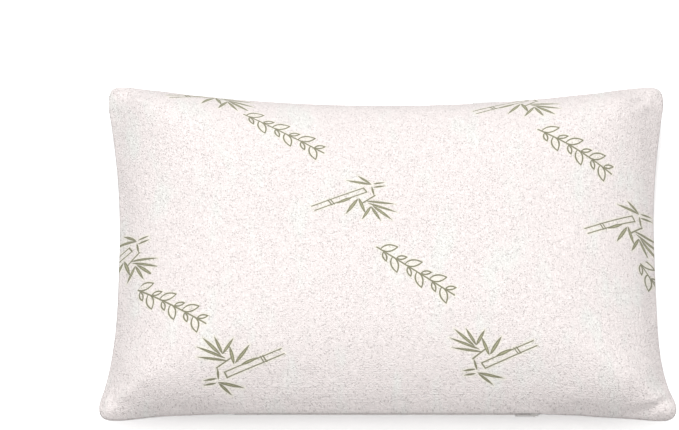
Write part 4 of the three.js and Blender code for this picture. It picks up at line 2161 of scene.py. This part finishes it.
def tube_piece(name: str, line: np.ndarray, radius: float, sides: int) -> bpy.types.Object:
    """A closed tube along a line of points.

    Args:
        name: The piece's name.
        line: The points down its middle.
        radius: Its radius.
        sides: How many sides it has.

    Returns:
        The piece.
    """
    ahead = np.gradient(line, axis=0)
    ahead /= np.linalg.norm(ahead, axis=1, keepdims=True)
    first = np.cross(ahead, np.array([1.0, 0.0, 0.0]))
    first[np.linalg.norm(first, axis=1) < 1e-6] = (0, 1, 0)
    first /= np.linalg.norm(first, axis=1, keepdims=True)
    second = np.cross(ahead, first)
    angle = np.linspace(0, 2 * math.pi, sides, endpoint=False)[None, :, None]
    ring = radius * (np.cos(angle) * first[:, None, :] + np.sin(angle) * second[:, None, :])
    points = (line[:, None, :] + ring).reshape(-1, 3)
    faces = []
    for i in range(len(line) - 1):
        for j in range(sides):
            k = (j + 1) % sides
            faces.append((i * sides + j, i * sides + k, (i + 1) * sides + k, (i + 1) * sides + j))
    last = (len(line) - 1) * sides
    faces.append(tuple(reversed(range(sides))))
    faces.append(tuple(last + j for j in range(sides)))
    return mesh_piece(name, points, faces)


# ---------------------------------------------------------------------------------------------
# The care label
# ---------------------------------------------------------------------------------------------


@dataclass
class CareLabel:
    """A blank satin label, folded in two and caught in the rear seam."""

    form: PillowForm
    tongue: float = 0.006
    tucked: float = 0.0012
    clearance: float = 0.0045
    settled: float = 0.16
    thickness: float = 0.0002
    gap: float = 0.0011
    curl: float = 0.0012
    steps: int = 22
    columns: int = 18

    def leaf(self, s: float, drop: float, way: int) -> tuple[float, float]:
        """A place on one leaf of the label.

        Args:
            s: How far down the leaf it is, from 0 at the seam to 1 at the fold.
            drop: How far the label hangs below the seam.
            way: -1 for the inner leaf, 1 for the outer.

        Returns:
            How far out it is, and its height over the seam's.
        """
        out = self.gap / 2 + self.gap * 0.5 * math.sin(math.pi * s)
        return way * out, -s * (drop - self.gap)

    def profile(self, drop: float) -> list[tuple[float, float]]:
        """The label from the side: down the inner leaf, round the fold and up the outer.

        Args:
            drop: How far the label hangs below the seam.

        Returns:
            How far out each point is, and its height over the seam's.
        """
        shares = [k / self.steps for k in range(self.steps + 1)]
        inner = [self.leaf(s, drop, -1) for s in shares]
        outer = [self.leaf(s, drop, 1) for s in reversed(shares)]
        radius = self.gap / 2
        fold = []
        for turn in range(30, 180, 30):
            angle = math.radians(turn)
            across = inner[-1][0] + radius * (1 - math.cos(angle))
            fold.append((across, inner[-1][1] - radius * math.sin(angle)))
        return inner + fold + outer

    def build(self) -> None:
        """Hangs the label's two leaves from the seam with a soft fold at the bottom."""
        low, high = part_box("care_label")
        width, drop = high.x - low.x, high.z - low.z
        profile = self.profile(drop)
        points = []
        for u in np.linspace(0, 1, self.columns + 1):
            x = low.x + width * u
            _, seam_y = self.form.hollowed(np.array(x), np.array(self.form.half_width))
            for out, down in profile:
                fall = -down / drop
                curl = self.curl * math.sin(math.pi * 1.3 * u + 0.4) * fall
                clear = self.clearance * float(smooth_step(0.0, self.settled, fall))
                points.append((x, float(seam_y) - self.tucked + clear + out + curl, high.z + down))
        faces = grid_faces(self.columns, len(profile) - 1, True, turned=True)
        piece = mesh_piece("care_label_blank", np.array(points), faces)
        thicken(piece, self.thickness, 0)
        hand_over(piece, LABEL_SATIN, "care_label")


# ---------------------------------------------------------------------------------------------
# The studio
# ---------------------------------------------------------------------------------------------


@dataclass
class Studio:
    """A plain pale floor, soft lights and the camera."""

    elevation: float = 69.0
    distance: float = 3.67
    aim: tuple[float, float, float] = (-0.060, 0.051, 0.06)
    lens: float = 152.5
    far_clip: float = 50
    floor_size: float = 24
    floor_tone: float = 0.42
    floor_seen: float = 1.65
    sky: float = 0.66

    def floor(self) -> None:
        """A wide matt floor, paler to the eye than to its surroundings."""
        clear_selection()
        bpy.ops.mesh.primitive_plane_add(size=self.floor_size)
        floor = bpy.context.object
        floor.name = "studio_floor"
        paint = bpy.data.materials.new("StudioFloor")
        paint.use_nodes = True
        bench = NodeBench(paint.node_tree)
        paint.node_tree.nodes.remove(paint.node_tree.nodes["Principled BSDF"])
        out = paint.node_tree.nodes["Material Output"]
        diffuse = bench.node("ShaderNodeBsdfDiffuse")
        seen = bench.node("ShaderNodeLightPath").outputs["Is Camera Ray"]
        tone = bench.mix(seen, (self.floor_tone,) * 3, (self.floor_seen,) * 3)
        bench.feed(diffuse.inputs["Color"], tone)
        bench.feed(out.inputs["Surface"], diffuse.outputs[0])
        floor.data.materials.append(paint)

    def light(
        self, name: str, place: tuple[float, float, float], size: float, power: float
    ) -> None:
        """A soft square light that faces the pillow.

        Args:
            name: The light's name.
            place: Where it hangs.
            size: The length of its side.
            power: Its power, in watts.
        """
        clear_selection()
        bpy.ops.object.light_add(type="AREA", location=place)
        light = bpy.context.object
        light.name = name
        light.data.shape = "SQUARE"
        light.data.size = size
        light.data.energy = power
        light.rotation_euler = (-Vector(place)).to_track_quat("-Z", "Y").to_euler()

    def camera(self) -> None:
        """The camera, high in front of the pillow."""
        rise = math.radians(self.elevation)
        back = Vector((0, -math.cos(rise), math.sin(rise)))
        lens = bpy.data.cameras.new("studio_camera")
        camera = bpy.data.objects.new("studio_camera", lens)
        bpy.context.scene.collection.objects.link(camera)
        lens.lens = self.lens
        lens.clip_end = self.far_clip
        camera.location = Vector(self.aim) + back * self.distance
        camera.rotation_euler = (-back).to_track_quat("-Z", "Y").to_euler()
        bpy.context.scene.camera = camera

    def build(self) -> None:
        """Sets the floor, lights and camera up."""
        self.floor()
        world = bpy.data.worlds.new("StudioWorld")
        world.use_nodes = True
        sky = world.node_tree.nodes["Background"]
        sky.inputs["Color"].default_value = (1.0, 1.0, 1.0, 1)
        sky.inputs["Strength"].default_value = self.sky
        bpy.context.scene.world = world
        bpy.context.scene.view_settings.view_transform = "Standard"
        self.light("key_light", (-0.2, 1.1, 3.0), 0.9, 56)
        self.light("front_fill", (-0.5, -1.2, 3.4), 2.0, 19)
        self.camera()


def main() -> None:
    """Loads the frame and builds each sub-assembly round it."""
    logging.basicConfig(level=logging.INFO, format="%(name)s: %(message)s")
    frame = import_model()
    Studio().build()
    form = PillowForm.from_frame()
    cover = KnitCover(form)
    cover.build()
    InnerBag(form, cover, PanelGrid(96, 64)).build()
    FoamFill(form, cover).build()
    SeamThreads(form).build()
    ZipFastening(form, cover).build(frame["nodes"])
    CareLabel(form).build()


if __name__ == "__main__":
    main()
